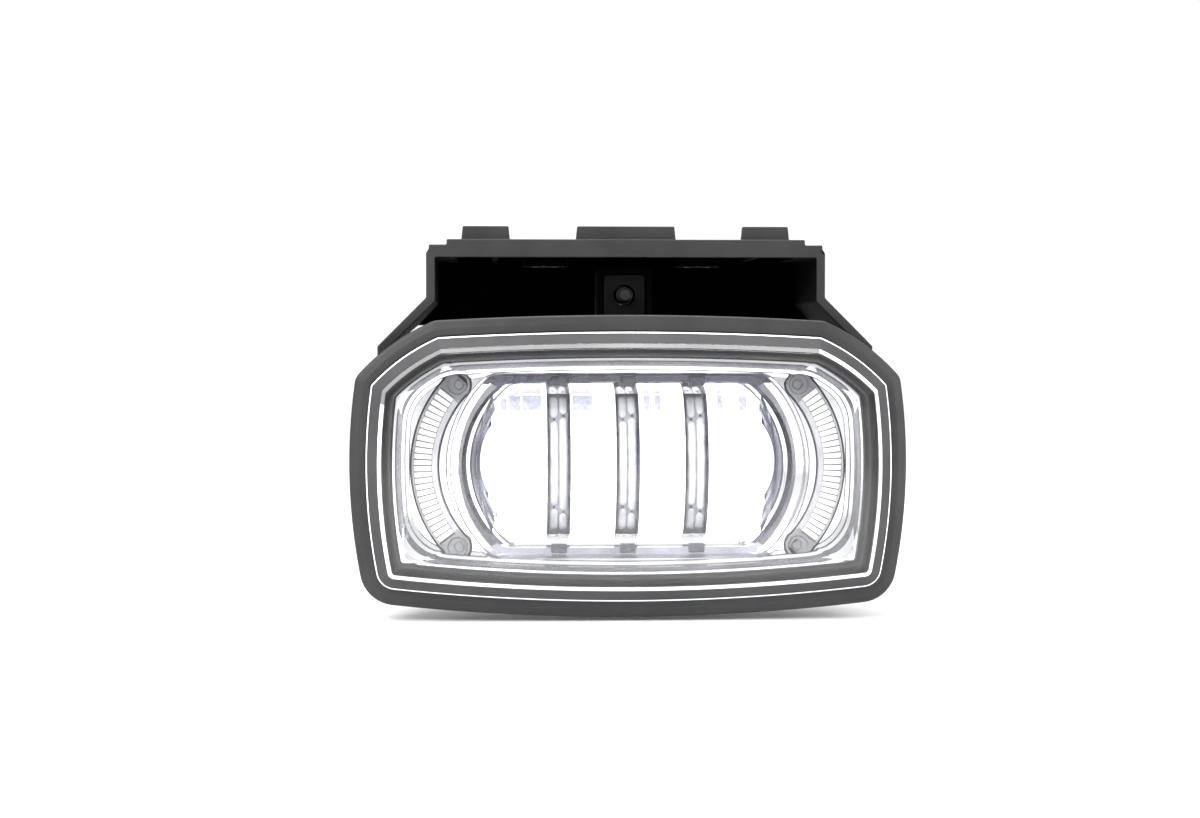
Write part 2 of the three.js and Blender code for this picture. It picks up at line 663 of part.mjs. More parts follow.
// Barrel-fronted clear block: four cells with fluted bars between them and an ear at each corner.
function mainOptic() {
  const rise = opticBarrel - Math.sqrt(opticBarrel ** 2 - opticHalfHeight ** 2);
  const lean = Math.asin(opticHalfHeight / opticBarrel);
  const centre = [opticFront + opticBarrel, 0];
  const barrelFace = arc(centre, opticBarrel, Math.PI + lean, Math.PI - lean, barrelSteps);
  const reach = opticHalfWidth + opticEndBow + past;
  const edge = opticFront + rise;
  const side = prism('x', [[opticBack, -opticHalfHeight], ...barrelFace,
    [Math.max(opticBack, edge + past), opticHalfHeight]], [-reach, reach]);
  const front = racetrack(opticHalfWidth + opticEndBow, opticHalfHeight, opticEndBow, opticCorner, 4);
  const block = side.intersect(prism('y', front, [opticFront - past, opticBack]));
  const ears = corners(boardScrewX, boardScrewZ).map(([x, z]) => join(
    rod('y', [x, z], opticEar.radius, [opticBack - opticEar.depth, opticBack], fine.small),
    box(along(Math.sign(x), opticHalfWidth, boardScrewX), [opticBack - opticEar.depth, opticBack],
      [z - opticEar.arm, z + opticEar.arm])));
  const grooves = barCentres.map((x) => barGroove(x, centre));
  const pockets = cellCentres.map((x) => box([x - ledPocket.width / 2, x + ledPocket.width / 2],
    [opticBack - ledPocket.depth, opticBack + past], [-ledPocket.width / 2, ledPocket.width / 2]));
  const holes = corners(boardScrewX, boardScrewZ).map((at) =>
    rod('y', at, screws.board.shank + looseGap,
      [opticBack - opticEar.depth - past, opticBack + past], fine.small));
  return cut(join(block, ...ears), ...grooves, ...pockets, ...holes);
}

// Groove between two cells that follows the barrel at its own depth.
function barGroove(x, centre) {
  const reach = opticHalfHeight + past;
  const lean = Math.asin(Math.min(reach / opticBarrel, 1));
  const floor = arc(centre, opticBarrel - opticGroove, Math.PI + lean, Math.PI - lean, barrelSteps);
  const front = opticFront - past;
  const [low, high] = [floor[0][0], floor[floor.length - 1][0]];
  return prism('x', [[front, -reach], [low, -reach], ...floor, [high, reach], [front, reach]],
    [x - opticBar / 2, x + opticBar / 2]);
}

function ledChip(x) {
  const back = boardFront - fitGap;
  const base = box([x - led.width / 2, x + led.width / 2], [back - led.depth / 2, back],
    [-led.width / 2, led.width / 2]);
  return join(base, rod('y', [x, 0], led.dome, [back - led.depth, back - led.sunk], fine.small));
}

function mainBoard() {
  const plate = box([-boardHalfWidth, boardHalfWidth], [boardFront, boardBack],
    [-boardHalfHeight, boardHalfHeight]);
  const holes = corners(boardScrewX, boardScrewZ).map((at) =>
    rod('y', at, screws.board.shank + looseGap, [boardFront - past, boardBack + past], fine.small));
  return cut(plate, ...holes);
}

const thermalPad = () => box([-padHalfWidth, padHalfWidth],
  [boardBack + fitGap, boardBack + fitGap + padDepth], [-boardHalfHeight, boardHalfHeight]);

const plateOutline = (smaller) => racetrack(
  plateHalfWidth - smaller, plateHalfHeight - smaller, plateBow, plateCorner, plateSteps);

// Cast block that reaches the LED board, with a cover plate and deep fins behind it.
function heatSink() {
  const block = box([-pedestalHalfWidth, pedestalHalfWidth], [pedestalFront, plateFront + past],
    [-pedestalHalfHeight, pedestalHalfHeight]);
  const plate = prism('y', plateOutline(0), [plateFront, plateBack]);
  const count = 2 * Math.floor((pedestalHalfWidth - finThickness) / finPitch) + 1;
  const places = Array.from({ length: count }, (_, i) => (i - (count - 1) / 2) * finPitch);
  const finHalf = pedestalHalfHeight - pedestalEdge;
  const fins = places.map((x) => box([x - finThickness / 2, x + finThickness / 2],
    [plateBack - past, plateBack + finDepth], [-finHalf, finHalf]));
  const gap = (finPitch - finThickness) / 2;
  const valleys = places.slice(1).map((x) => box([x - finPitch / 2 - gap, x - finPitch / 2 + gap],
    [pedestalFront + finFloor, plateBack + past], [-finHalf, finHalf]));
  const boardPilots = corners(boardScrewX, boardScrewZ).map((at) =>
    rod('y', at, screws.board.shank + fitGap, [pedestalFront - past, pedestalFront + sinkPilot],
      fine.small));
  const holes = corners(sinkScrewX, sinkScrewZ).map((at) =>
    rod('y', at, screws.sink.shank + looseGap, [plateFront - past, plateBack + past], fine.small));
  return cut(join(cut(join(block, plate), ...valleys), ...fins), ...boardPilots, ...holes);
}

function heatSinkGasket() {
  const span = [gasketFront, gasketFront + sinkGasket];
  const sheet = prism('y', plateOutline(fitGap), span);
  const opening = box([-openingHalfWidth, openingHalfWidth], [span[0] - past, span[1] + past],
    [-openingHalfHeight, openingHalfHeight]);
  const holes = corners(sinkScrewX, sinkScrewZ).map((at) =>
    rod('y', at, screws.sink.shank + looseGap, [span[0] - past, span[1] + past], fine.small));
  return cut(sheet, opening, ...holes);
}

// ---------------------------------------------------------------- lamp: driver, connector, vent

function driverBoard() {
  const plate = box([driverX - driver.width / 2, driverX + driver.width / 2],
    [driver.front, driverBack], [-driverHalfHeight, driverHalfHeight]);
  const holes = driverPosts().map((at) =>
    rod('y', at, screws.driver.shank + looseGap, [driver.front - past, driverBack + past], fine.small));
  return cut(plate, ...holes);
}

// Shroud with a flange against the gasket, four pin slots and a latch rail on one side.
function connectorSocket() {
  const { width, height, wall } = connector;
  const half = [width / 2, height / 2];
  const around = (grow, y) => box([connectorX - half[0] - grow, connectorX + half[0] + grow], y,
    [-half[1] - grow, half[1] + grow]);
  const flange = around(connectorFlange.extra, [connectorFront, connectorFloor]);
  const shroud = around(0, [connectorFront + past, connectorMouth]);
  const hollow = around(-wall, [connectorFloor, connectorMouth + past]);
  const rail = box([connectorX - latchRail.halfWidth, connectorX + latchRail.halfWidth],
    [connectorFloor, connectorMouth - latchRail.setback], [half[1] - wall / 2, half[1] + latchRail.height]);
  const slots = pinPlaces().map(([x, z]) => {
    const reach = pin.size / 2 + fitGap;
    return box([x - reach, x + reach], [connectorFront - past, connectorFloor + past],
      [z - reach, z + reach]);
  });
  return cut(join(cut(join(flange, shroud), hollow), rail), ...slots);
}

const pinPlaces = () => corners(pin.pitchX / 2, pin.pitchZ / 2).map(([x, z]) => [connectorX + x, z]);

const terminal = ([x, z]) => box([x - pin.size / 2, x + pin.size / 2],
  [driverBack + fitGap, pin.end], [z - pin.size / 2, z + pin.size / 2]);

function connectorGasket() {
  const span = [housingDepth + fitGap, housingDepth + fitGap + gasketDepth];
  const half = [connector.width / 2 + connectorFlange.extra, connector.height / 2 + connectorFlange.extra];
  const sheet = box([connectorX - half[0], connectorX + half[0]], span, [-half[1], half[1]]);
  const hole = box([connectorX - pinsHalfWidth, connectorX + pinsHalfWidth],
    [span[0] - past, span[1] + past], [-pinsHalfHeight, pinsHalfHeight]);
  return cut(sheet, hole);
}

// Mushroom cap: a stem in the housing's hole, open through its middle and out under the head.
function ventCap() {
  const at = [ventX, vent.z];
  const headStart = housingDepth + looseGap + fitGap;
  const stem = rod('y', at, vent.neck, [cavityEnd + looseGap, headStart + past]);
  const head = rod('y', at, vent.radius, [headStart, headStart + vent.cap], fine.medium);
  const bore = rod('y', at, vent.bore, [cavityEnd, headStart + vent.cap / 2], fine.small);
  const duct = box([at[0] - vent.duct, at[0] + vent.duct],
    [headStart + vent.duct, headStart + vent.cap / 2], [at[1], at[1] + vent.radius + past]);
  return cut(join(stem, head), bore, duct);
}

const ventMembrane = () => rod('y', [ventX, vent.z], vent.neck,
  [cavityEnd + fitGap - vent.membrane, cavityEnd + fitGap]);

// Leads inside the lamp: driver to main board, and each running-light board's feed.
function mainLead() {
  const z = boardHalfHeight * 0.4;
  const edge = boardHalfWidth + 2.4;
  return wire([[driverX + 4, driver.front - fitGap, z], [driverX + 4, driver.front - 5, z],
    [-edge - 1, boardBack + 3, z], [-edge, boardFront - 0.6, z], [-boardHalfWidth, boardFront - 2.6, z],
    [-boardHalfWidth + 1.8, boardFront - fitGap - leadRadius, z]]);
}

function drlLeadLeft() {
  const end = drlBoardFront + boardDepth + fitGap;
  return wire([[-drlMid, driver.front - fitGap, -10], [-drlMid, driver.front - 3, -10],
    [-drlMid, end + 7, 0], [-drlMid, end, 0]]);
}

function drlLeadRight() {
  const end = drlBoardFront + boardDepth + fitGap;
  const z = boardHalfHeight * 0.4;
  const start = boardHalfWidth - 1.8;
  return wire([[start, boardFront - fitGap - leadRadius, z], [boardHalfWidth, boardFront - 2.6, z],
    [boardHalfWidth + 4, boardFront - 3, z / 2], [drlMid - 3, end + 6, 1], [drlMid, end + 4, 0],
    [drlMid, end, 0]]);
}

// ---------------------------------------------------------------- pivots and aiming screw

function pivotScrew(side) {
  const at = [pivotDepth, 0];
  const threadEnd = pivotBossEnd - pivotThread.length + fitGap;
  const seat = pivotBossEnd + fitGap;
  const headEnd = pivotHeadStart + pivotHead.depth;
  const body = join(
    rod('x', at, pivotThread.radius, along(side, threadEnd, seat + past), fine.small),
    rod('x', at, shoulderRadius, along(side, seat, pivotHeadStart + past), fine.medium),
    rod('x', at, shoulderRadius + pivotHead.width, along(side, pivotHeadStart, headEnd), fine.medium));
  return cut(body, rod('x', at, pivotHead.socket, along(side, headEnd - pivotHead.socketDepth,
    headEnd + past), hexagon));
}

function pivotBush(side) {
  const at = [pivotDepth, 0];
  const flangeEnd = bushFlangeStart + bush.flangeDepth;
  const body = join(
    rod('x', at, bushRadius, along(side, armInner, (bushFlangeStart + flangeEnd) / 2), fine.medium),
    rod('x', at, bushRadius + bush.flange, along(side, bushFlangeStart, flangeEnd), fine.medium));
  return cut(body, rod('x', at, shoulderRadius + fitGap, along(side, armInner - past, flangeEnd + past),
    fine.medium));
}

// Square snap-in nut with a flange in front of the lug and barbs behind it.
function adjusterNut() {
  const square = (half, y) => box([-half, half], y, [adjusterZ - half, adjusterZ + half]);
  const front = lug.front - fitGap;
  const back = lug.back + fitGap;
  const flange = square(nutFlangeHalf, [front - nut.flangeDepth, front]);
  const body = square(nutHalf, [front - past, back + nut.barbDepth]);
  const barbs = square(nutHalf + nut.barb, [back, back + nut.barbDepth]);
  const bore = rod('y', [0, adjusterZ], nutBore,
    [front - nut.flangeDepth - past, back + nut.barbDepth + past]);
  return cut(join(flange, body, barbs), bore);
}

const collarBack = bracketBack - rearWallDepth - adjusterBoss.depth - fitGap;

function adjusterScrew() {
  const at = [0, adjusterZ];
  return join(
    rod('y', at, adjusterRadius, [adjusterStart, knobStart + knob.depth - knob.socketDepth - fitGap]),
    rod('y', at, adjusterRadius + collar.width, [collarBack - collar.depth, collarBack], fine.medium));
}

// Fluted knob pressed over the screw's end, with a hexagon recess for a driver.
function adjusterKnob() {
  const at = [0, adjusterZ];
  const end = knobStart + knob.depth;
  const inner = end - knob.socketDepth;
  const flutes = circle(knob.radius + knob.fluteRadius / 2, knob.flutes, at).map((place) =>
    rod('y', place, knob.fluteRadius, [knobStart - past, end + past], fine.small));
  return cut(rod('y', at, knob.radius, [knobStart, end], fine.large),
    rod('y', at, adjusterRadius + fitGap, [knobStart - past, inner]),
    rod('y', at, knob.socket, [inner - past, end + past], hexagon), ...flutes);
}

function adjusterWasher() {
  const at = [0, adjusterZ];
  const span = [bracketBack + fitGap, bracketBack + fitGap + washer.depth];
  return cut(rod('y', at, adjusterRadius + washer.width, span),
    rod('y', at, adjusterRadius + fitGap, [span[0] - past, span[1] + past]));
}

// ---------------------------------------------------------------- hood bracket

// Front view of the arch: deck, notched corners, walls, flares and arms.
function archOutline(shrinkBy, top, foot) {
  const outer = armOuter - shrinkBy;
  const wall = deckHalfWidth - shrinkBy;
  const notch = deckHalfWidth - cornerNotch.width;
  const round = Math.max(cornerNotch.round - shrinkBy, sharpestCorner / 3);
  const corner = top - cornerNotch.drop;
  const bend = shrinkBy * Math.tan(Math.PI / 8);
  const right = [[outer, foot], [outer, wallEnd - bend], [wall, flareStart - bend]];
  const crown = [...arc([wall - round, corner - round], round, 0, Math.PI / 2, cornerSteps),
    [notch - shrinkBy, corner], [notch - shrinkBy, top]];
  const half = [...right, ...crown];
  return [...half, ...half.map(([x, z]) => [-x, z]).reverse()];
}

// Side view that leaves the full hood above and a rounded arm down to the pivot.
function sideOutline() {
  const round = arc([pivotDepth, 0], armEndRadius, Math.PI, 2 * Math.PI, armSteps);
  return [[bracketFront, deckTop + tabHeight + past], [bracketFront, armFootFront], ...round,
    [pivotDepth + armEndRadius, armFootFront - armFootStep], [bracketBack, armFootBack],
    [bracketBack, deckTop + tabHeight + past]];
}

function mountingBracket() {
  const foot = -armEndRadius - past;
  const depth = [bracketFront, bracketBack];
  const arch = prism('y', archOutline(0, deckTop, foot), depth);
  const inside = prism('y', archOutline(sideWall, deckUnder, foot - past),
    [bracketFront - past, bracketBack - rearWallDepth]);
  const exit = box([-armOuter, armOuter], [bracketBack - rearWallDepth - past, bracketBack + past],
    [foot - past, rearWallFoot]);
  const lip = box([-deckHalfWidth + past, deckHalfWidth - past],
    [bracketFront, bracketFront + frontLip.depth], [deckTop - frontLip.height, deckUnder + past]);
  const additions = [lip, ...bracketTabs(), ...sleeveBosses(), ...hoodRibs(), adjusterBossSolid()];
  const whole = join(cut(arch, inside, exit), ...additions);
  const trimmed = whole.intersect(prism('x', sideOutline(), [-armOuter - past, armOuter + past]));
  return cut(trimmed, ...bracketHoles());
}

// Locating tabs that stand up from the deck near its front edge.
function bracketTabs() {
  const y = [bracketFront + tabSetback, bracketFront + tabSetback + tabDepth];
  return tabs.map(({ x, width }) => {
    const foot = width / 2;
    const head = foot - tabTaper;
    return prism('y', [[x - foot, deckTop - past], [x + foot, deckTop - past],
      [x + head, deckTop + tabHeight], [x - head, deckTop + tabHeight]], y);
  });
}

const boltPlaces = () => [1, -1].map((side) => [(side * boltPitch) / 2, deckMiddle]);

const sleeveBosses = () => boltPlaces().map((at) =>
  rod('z', at, sleeve.radius + sleeve.bossWall, [deckTop - sleeve.depth, deckUnder + past]));

// Ribs under the deck, between its lip and the rear wall.
const hoodRibs = () => ribs.map((x) => box([x - ribDepth / 2, x + ribDepth / 2],
  [bracketFront + past, bracketBack - past], [deckTop - frontLip.height, deckUnder + past]));

const adjusterBossSolid = () => rod('y', [0, adjusterZ], adjusterHole + adjusterBoss.wall,
  [bracketBack - rearWallDepth - adjusterBoss.depth, bracketBack - past]);

function bracketHoles() {
  const bolts = boltPlaces().map((at) =>
    rod('z', at, sleeve.radius + fitGap, [deckTop - sleeve.depth - past, deckTop + past]));
  const pivots = [1, -1].map((side) =>
    rod('x', [pivotDepth, 0], bushRadius + fitGap, along(side, armInner - past, armOuter + past)));
  const screw = rod('y', [0, adjusterZ], adjusterHole,
    [bracketBack - rearWallDepth - adjusterBoss.depth - past, bracketBack + past]);
  return [...bolts, ...pivots, screw];
}

// Steel sleeve that takes the bolt's load, flush with the deck's top face.
function mountSleeve([x, y]) {
  const span = [deckTop - sleeve.depth, deckTop];
  return cut(rod('z', [x, y], sleeve.radius, span),
    rod('z', [x, y], sleeve.bore, [span[0] - past, span[1] + past]));
}

// ---------------------------------------------------------------- assembly

const finishes = {
  moulding: [0x1d1d1f, 0.55, 0],
  casting: [0x4a4b4d, 0.5, 0],
  clear: [0xe8ecef, 0.05, 0],
  chrome: [0xf2f3f5, 0.12, 1],
  guide: [0xf4f6f8, 0.2, 0],
  tray: [0x8a8c8f, 0.5, 0],
  board: [0x2f5a3a, 0.6, 0],
  whiteBoard: [0xe6e6e2, 0.5, 0],
  emitter: [0xe9e2f5, 0.3, 0],
  aluminium: [0x9c9ea1, 0.45, 1],
  steel: [0xa7a9ac, 0.35, 1],
  rubber: [0x151515, 0.9, 0],
  nylon: [0xd9d6cc, 0.5, 0],
  brass: [0xb99a4b, 0.35, 1],
  copper: [0x202022, 0.6, 0],
};

function addPiece(group, name, shape, finish) {
  const { vertProperties, triVerts } = shape.getMesh();
  const geometry = new THREE.BufferGeometry();
  geometry.setAttribute('position', new THREE.BufferAttribute(new Float32Array(vertProperties), 3));
  geometry.setIndex([...triVerts]);
  geometry.computeVertexNormals();
  const [color, roughness, metalness] = finishes[finish];
  const mesh = new THREE.Mesh(geometry, new THREE.MeshStandardMaterial({ color, roughness, metalness }));
  mesh.name = name;
  group.add(mesh);
}

const sides = [['left', -1], ['right', 1]];

function bracketGroup() {
  const group = new THREE.Group();
  addPiece(group, 'mounting_bracket', mountingBracket(), 'moulding');
  for (const [name, side] of sides) {
    addPiece(group, `mount_sleeve_${name}`, mountSleeve([(side * boltPitch) / 2, deckMiddle]), 'steel');
    addPiece(group, `pivot_bush_${name}`, pivotBush(side), 'nylon');
  }
  addPiece(group, 'adjuster_washer', adjusterWasher(), 'steel');
  return group;
}

function adjusterGroup() {
  const group = new THREE.Group();
  addPiece(group, 'adjuster_screw', adjusterScrew(), 'steel');
  addPiece(group, 'adjuster_knob', adjusterKnob(), 'moulding');
  return group;
}

function lampGroup() {
  const group = new THREE.Group();
  addPiece(group, 'rear_housing', rearHousing(), 'casting');
  addPiece(group, 'outer_lens', outerLens(), 'clear');
  addPiece(group, 'lens_seal', lensSeal(), 'rubber');
  addPiece(group, 'reflector_bezel', reflectorBezel(), 'chrome');
  addPiece(group, 'main_optic', mainOptic(), 'clear');
  addPiece(group, 'main_led_board', mainBoard(), 'whiteBoard');
  addPiece(group, 'thermal_pad', thermalPad(), 'tray');
  addPiece(group, 'heat_sink', heatSink(), 'aluminium');
  addPiece(group, 'heat_sink_gasket', heatSinkGasket(), 'rubber');
  addPiece(group, 'driver_board', driverBoard(), 'board');
  addPiece(group, 'connector_socket', connectorSocket(), 'moulding');
  addPiece(group, 'connector_gasket', connectorGasket(), 'rubber');
  addPiece(group, 'vent_cap', ventCap(), 'moulding');
  addPiece(group, 'vent_membrane', ventMembrane(), 'whiteBoard');
  addPiece(group, 'adjuster_nut', adjusterNut(), 'nylon');
  addPiece(group, 'main_lead', mainLead(), 'copper');
  addPiece(group, 'drl_lead_left', drlLeadLeft(), 'copper');
  addPiece(group, 'drl_lead_right', drlLeadRight(), 'copper');
  for (const [name, side] of sides) {
    addPiece(group, `drl_tray_${name}`, drlTray(side), 'tray');
    addPiece(group, `drl_guide_${name}`, drlGuide(side), 'guide');
    addPiece(group, `drl_board_${name}`, drlBoard(side), 'board');
    addPiece(group, `pivot_screw_${name}`, pivotScrew(side), 'steel');
  }
  addLampFasteners(group);
  return group;
}

function addLampFasteners(group) {
  cellCentres.forEach((x, i) => addPiece(group, `main_led_${i + 1}`, ledChip(x), 'emitter'));
  pinPlaces().forEach((at, i) => addPiece(group, `terminal_${i + 1}`, terminal(at), 'brass'));
  corners(boardScrewX, boardScrewZ).forEach((at, i) => addPiece(group, `board_screw_${i + 1}`,
    panScrew(at, opticBack - opticEar.depth - fitGap, 1, screws.board), 'steel'));
  corners(sinkScrewX, sinkScrewZ).forEach((at, i) => addPiece(group, `heat_sink_screw_${i + 1}`,
    panScrew(at, plateBack + fitGap, -1, screws.sink), 'steel'));
  driverPosts().forEach((at, i) => addPiece(group, `driver_screw_${i + 1}`,
    panScrew(at, driver.front - fitGap, 1, screws.driver), 'steel'));
  sides.forEach(([name, side]) => drlEnds(side).forEach((at, i) =>
    addPiece(group, `drl_screw_${name}_${i + 1}`,
      panScrew(at, drlBoardFront + boardDepth + fitGap, -1, screws.drl), 'steel')));
}

const fogLamp = new THREE.Group();
const lampFrame = new THREE.Group();
lampFrame.position.set(0, -deckMiddle, -deckTop);
lampFrame.add(bracketGroup(), adjusterGroup(), lampGroup());
fogLamp.add(lampFrame);

export default fogLamp;
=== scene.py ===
# Looks of the LED fog lamp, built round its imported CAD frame.
import math
from functools import cache

import bmesh
import bpy
from mathutils import Matrix, Vector


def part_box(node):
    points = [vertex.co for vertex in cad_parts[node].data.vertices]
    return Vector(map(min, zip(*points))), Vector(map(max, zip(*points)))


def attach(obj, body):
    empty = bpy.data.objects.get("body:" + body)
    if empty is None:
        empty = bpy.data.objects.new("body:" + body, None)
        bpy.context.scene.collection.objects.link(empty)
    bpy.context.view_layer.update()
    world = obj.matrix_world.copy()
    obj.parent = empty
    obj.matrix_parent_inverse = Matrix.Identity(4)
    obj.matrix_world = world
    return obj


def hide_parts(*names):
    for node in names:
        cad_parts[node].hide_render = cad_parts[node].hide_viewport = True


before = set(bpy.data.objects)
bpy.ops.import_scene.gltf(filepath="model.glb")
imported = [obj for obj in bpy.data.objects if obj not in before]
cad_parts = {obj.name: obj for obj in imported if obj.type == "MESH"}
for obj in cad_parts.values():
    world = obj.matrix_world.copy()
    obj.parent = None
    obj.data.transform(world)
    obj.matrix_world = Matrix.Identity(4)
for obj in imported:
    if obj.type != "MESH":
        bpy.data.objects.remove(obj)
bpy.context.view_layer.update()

# Sizes are millimetres in the lamp's own frame: x to the right, y back from the rim's front face,
# z up from the lens centre.
MM = 0.001
HOUSING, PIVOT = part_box("rear_housing"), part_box("pivot_screw_left")
ORIGIN = Vector((0, HOUSING[0].y, (PIVOT[0].z + PIVOT[1].z) / 2))


def local_box(node):
    """A CAD node's lowest and highest corner in the lamp's millimetres."""
    return [(corner - ORIGIN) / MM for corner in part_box(node)]


def middle_of(corners):
    """Middle of a box, seen from the front, as (x, z)."""
    low, high = corners
    return ((low.x + high.x) / 2, (low.z + high.z) / 2)


def span(a, b, side=1):
    return sorted((side * a, side * b))


def corners_of(x, z):
    return [(x, z), (-x, z), (-x, -z), (x, -z)]


SIDES = [("left", -1), ("right", 1)]
FIT = 0.3
PAST = 1

# Lamp front
HALF_WIDTH, HALF_HEIGHT = 100, 54.3
CHAMFER_RUN, CHAMFER_DROP, SIDE_LEAN = 28, 20.3, 3.5
BOW = {"top": 2.1, "chamfer": 2, "side": 3.9, "bottom": 5.9}
ROUND = {"top": 6, "side": 6, "bottom": 13}
SHARPEST = 1.5

# Housing
RIM_EDGE, RIM_DEPTH, RIM_ROUND = 5.9, 8, 1.2
CHANNEL_WIDTH, CHANNEL_DEPTH, LIP_WIDTH, LIP_SETBACK = 4.7, 6, 4.6, 1
SHOULDER_INSET, BODY_INSET, BODY_REAR_INSET, BODY_START = 13, 16.5, 18, 24
HOUSING_DEPTH, HOUSING_WALL, REAR_WALL = 48, 2.4, 3
CAVITY_MOUTH = RIM_EDGE + CHANNEL_WIDTH + LIP_WIDTH
CAVITY_END = HOUSING_DEPTH - REAR_WALL
SINK_OPENING = (58, 24.5)
PIVOT_AT = (40, 0)
BOSS_END = 87

# Lens
LENS_EDGE = RIM_EDGE + FIT
LENS_WALL, SKIRT_DEPTH, LENS_SHOULDER = 2.3, 4.4, 2.9
LENS_CHAMFER, STEP_RUN, STEP_RISE, LENS_ROUND, DOME_RISE = 4, 1.9, 2.6, 0.6, 2.4
LENS_INNER = LENS_EDGE + LENS_CHAMFER
LENS_STEP = -LENS_SHOULDER - LENS_CHAMFER

# Bezel, bowl and running lights
BEZEL_EDGE = CAVITY_MOUTH + FIT
BEZEL_FLOOR, BEZEL_FRONT, BEZEL_WALL, BEZEL_SIDE = 7.5, -0.8, 2, 3.1
COLLAR_END, BOWL_STEP, BOWL_WALL, BOWL_CORNER = 18.8, 12, 1.2, 10
DRL_MID = HALF_WIDTH - 26.5
BOWL_WIDTH, BOWL_HEIGHT = DRL_MID - 8.6, HALF_HEIGHT - 21.3
BOWL_BOW = BOWL_HEIGHT * math.tan(math.radians(48.9) / 2)
DRL_END = BOWL_HEIGHT - 3.8
DRL_ANGLE = math.radians(44)
DRL_RADIUS = DRL_END / math.sin(DRL_ANGLE)
DRL_CENTRE = DRL_MID - DRL_RADIUS
DRL_SLOT, DRL_PAD, DRL_SHIFT, DRL_CHANNEL = 4.9, 4.5, 0.7, 3.15
DRL_FRONT, DRL_BACK = 6.8, 15

# Optic
OPTIC = {"front": 8.2, "back": 26.2, "width": 47.4, "height": 26, "barrel": 36}
OPTIC_SIDE = OPTIC["width"] + 0.1
CELL_PITCH, BAR_WIDTH = 25.05, 8.6
BARS = [-CELL_PITCH, 0, CELL_PITCH]
BOARD_SCREWS = corners_of(53.5, 19)

# Heat sink, connector, vent and aiming screw
SINK, NUT, CONNECTOR, VENT = (local_box(node) for node in
                              ("heat_sink", "adjuster_nut", "connector_socket", "vent_cap"))
SINK_SCREWS = corners_of(51.9, 28.9)
PLATE_FRONT, PLATE_BACK = 49.6, 52.6
ADJUSTER_AT = (0, middle_of(NUT)[1])
NUT_HALF = 6
LUG = {"front": 34, "back": 46, "half": NUT_HALF + FIT + 4}

# Hood bracket
BRACKET = local_box("mounting_bracket")
DECK, DECK_WALL = 82.1, 3
ARM_OUTER, SIDE_WALL, FLARE, FLARE_START = 91, 3.3, 17.8, 60.8
DECK_WIDTH = ARM_OUTER - FLARE
NOTCH = {"width": 7.5, "drop": 3.6, "round": 2}
BACK_WALL, BACK_FOOT = 3, 50
ARM_RADIUS = 14

# Outlines, as (x, z) points


def circle(radius, steps=48, at=(0, 0)):
    turns = [2 * math.pi * i / steps for i in range(steps)]
    return [(at[0] + radius * math.cos(t), at[1] + radius * math.sin(t)) for t in turns]


def arc(centre, radius, start, end, steps):
    turns = [start + (end - start) * i / steps for i in range(steps + 1)]
    return [(centre[0] + radius * math.cos(t), centre[1] + radius * math.sin(t)) for t in turns]


def edge_circle(start, end, rise):
    """Centre and radius of the circle that an edge bowed outwards by `rise` lies on."""
    dx, dz = end[0] - start[0], end[1] - start[1]
    chord = math.hypot(dx, dz)
    radius = (chord ** 2 / 4 + rise ** 2) / (2 * rise)
    reach = (radius - rise) / chord
    centre = ((start[0] + end[0]) / 2 - dz * reach, (start[1] + end[1]) / 2 + dx * reach)
    return centre, radius


def meeting(a, b, reach_a, reach_b, near):
    """The point at given distances from two centres, on the side nearer to `near`."""
    dx, dz = b[0] - a[0], b[1] - a[1]
    apart = math.hypot(dx, dz)
    along = (apart ** 2 + reach_a ** 2 - reach_b ** 2) / (2 * apart)
    across = math.sqrt(max(reach_a ** 2 - along ** 2, 0))
    options = [(a[0] + (dx * along - sign * dz * across) / apart,
                a[1] + (dz * along + sign * dx * across) / apart) for sign in (1, -1)]
    return min(options, key=lambda p: math.hypot(p[0] - near[0], p[1] - near[1]))


def bowed_outline(corners, inset=0, least=SHARPEST, corner_steps=9):
    """Outline with bowed edges and rounded corners, moved inwards; corners are (x, z, radius, bow, steps)."""
    count = len(corners)
    points = [c[:2] for c in corners]
    edges = [edge_circle(points[i], points[(i + 1) % count], corners[i][3]) for i in range(count)]
    rounds = []
    for i, corner in enumerate(corners):
        radius = max(corner[2] - inset, least)
        before, after = edges[i - 1], edges[i]
        spot = meeting(before[0], after[0], before[1] - inset - radius, after[1] - inset - radius, points[i])
        rounds.append((spot, radius))

    def heading(start, end):
        return math.atan2(end[1] - start[1], end[0] - start[0])

    def ahead(start, end):
        return end + 2 * math.pi if end < start - 1e-9 else end

    outline = []
    for i, corner in enumerate(corners):
        spot, radius = rounds[i]
        before = heading(edges[i - 1][0], spot)
        after = ahead(before, heading(edges[i][0], spot))
        end = ahead(after, heading(edges[i][0], rounds[(i + 1) % count][0]))
        outline += arc(spot, radius, before, after, corner_steps)
        outline += arc(edges[i][0], edges[i][1] - inset, after, end, corner[4])[1:-1]
    return outline


def front_outline(inset, least=SHARPEST):
    """The lamp's front outline, anticlockwise from the lower right corner."""
    middle = HALF_WIDTH - BOW["side"]
    top, bottom = HALF_HEIGHT - BOW["top"], BOW["bottom"] - HALF_HEIGHT
    upper, lower = middle + SIDE_LEAN / 2, middle - SIDE_LEAN / 2
    return bowed_outline([
        (lower, bottom, ROUND["bottom"], BOW["side"], 16),
        (upper, top - CHAMFER_DROP, ROUND["side"], BOW["chamfer"], 8),
        (upper - CHAMFER_RUN, top, ROUND["top"], BOW["top"], 28),
        (CHAMFER_RUN - upper, top, ROUND["top"], BOW["chamfer"], 8),
        (-upper, top - CHAMFER_DROP, ROUND["side"], BOW["side"], 16),
        (-lower, bottom, ROUND["bottom"], BOW["bottom"], 36),
    ], inset, least)


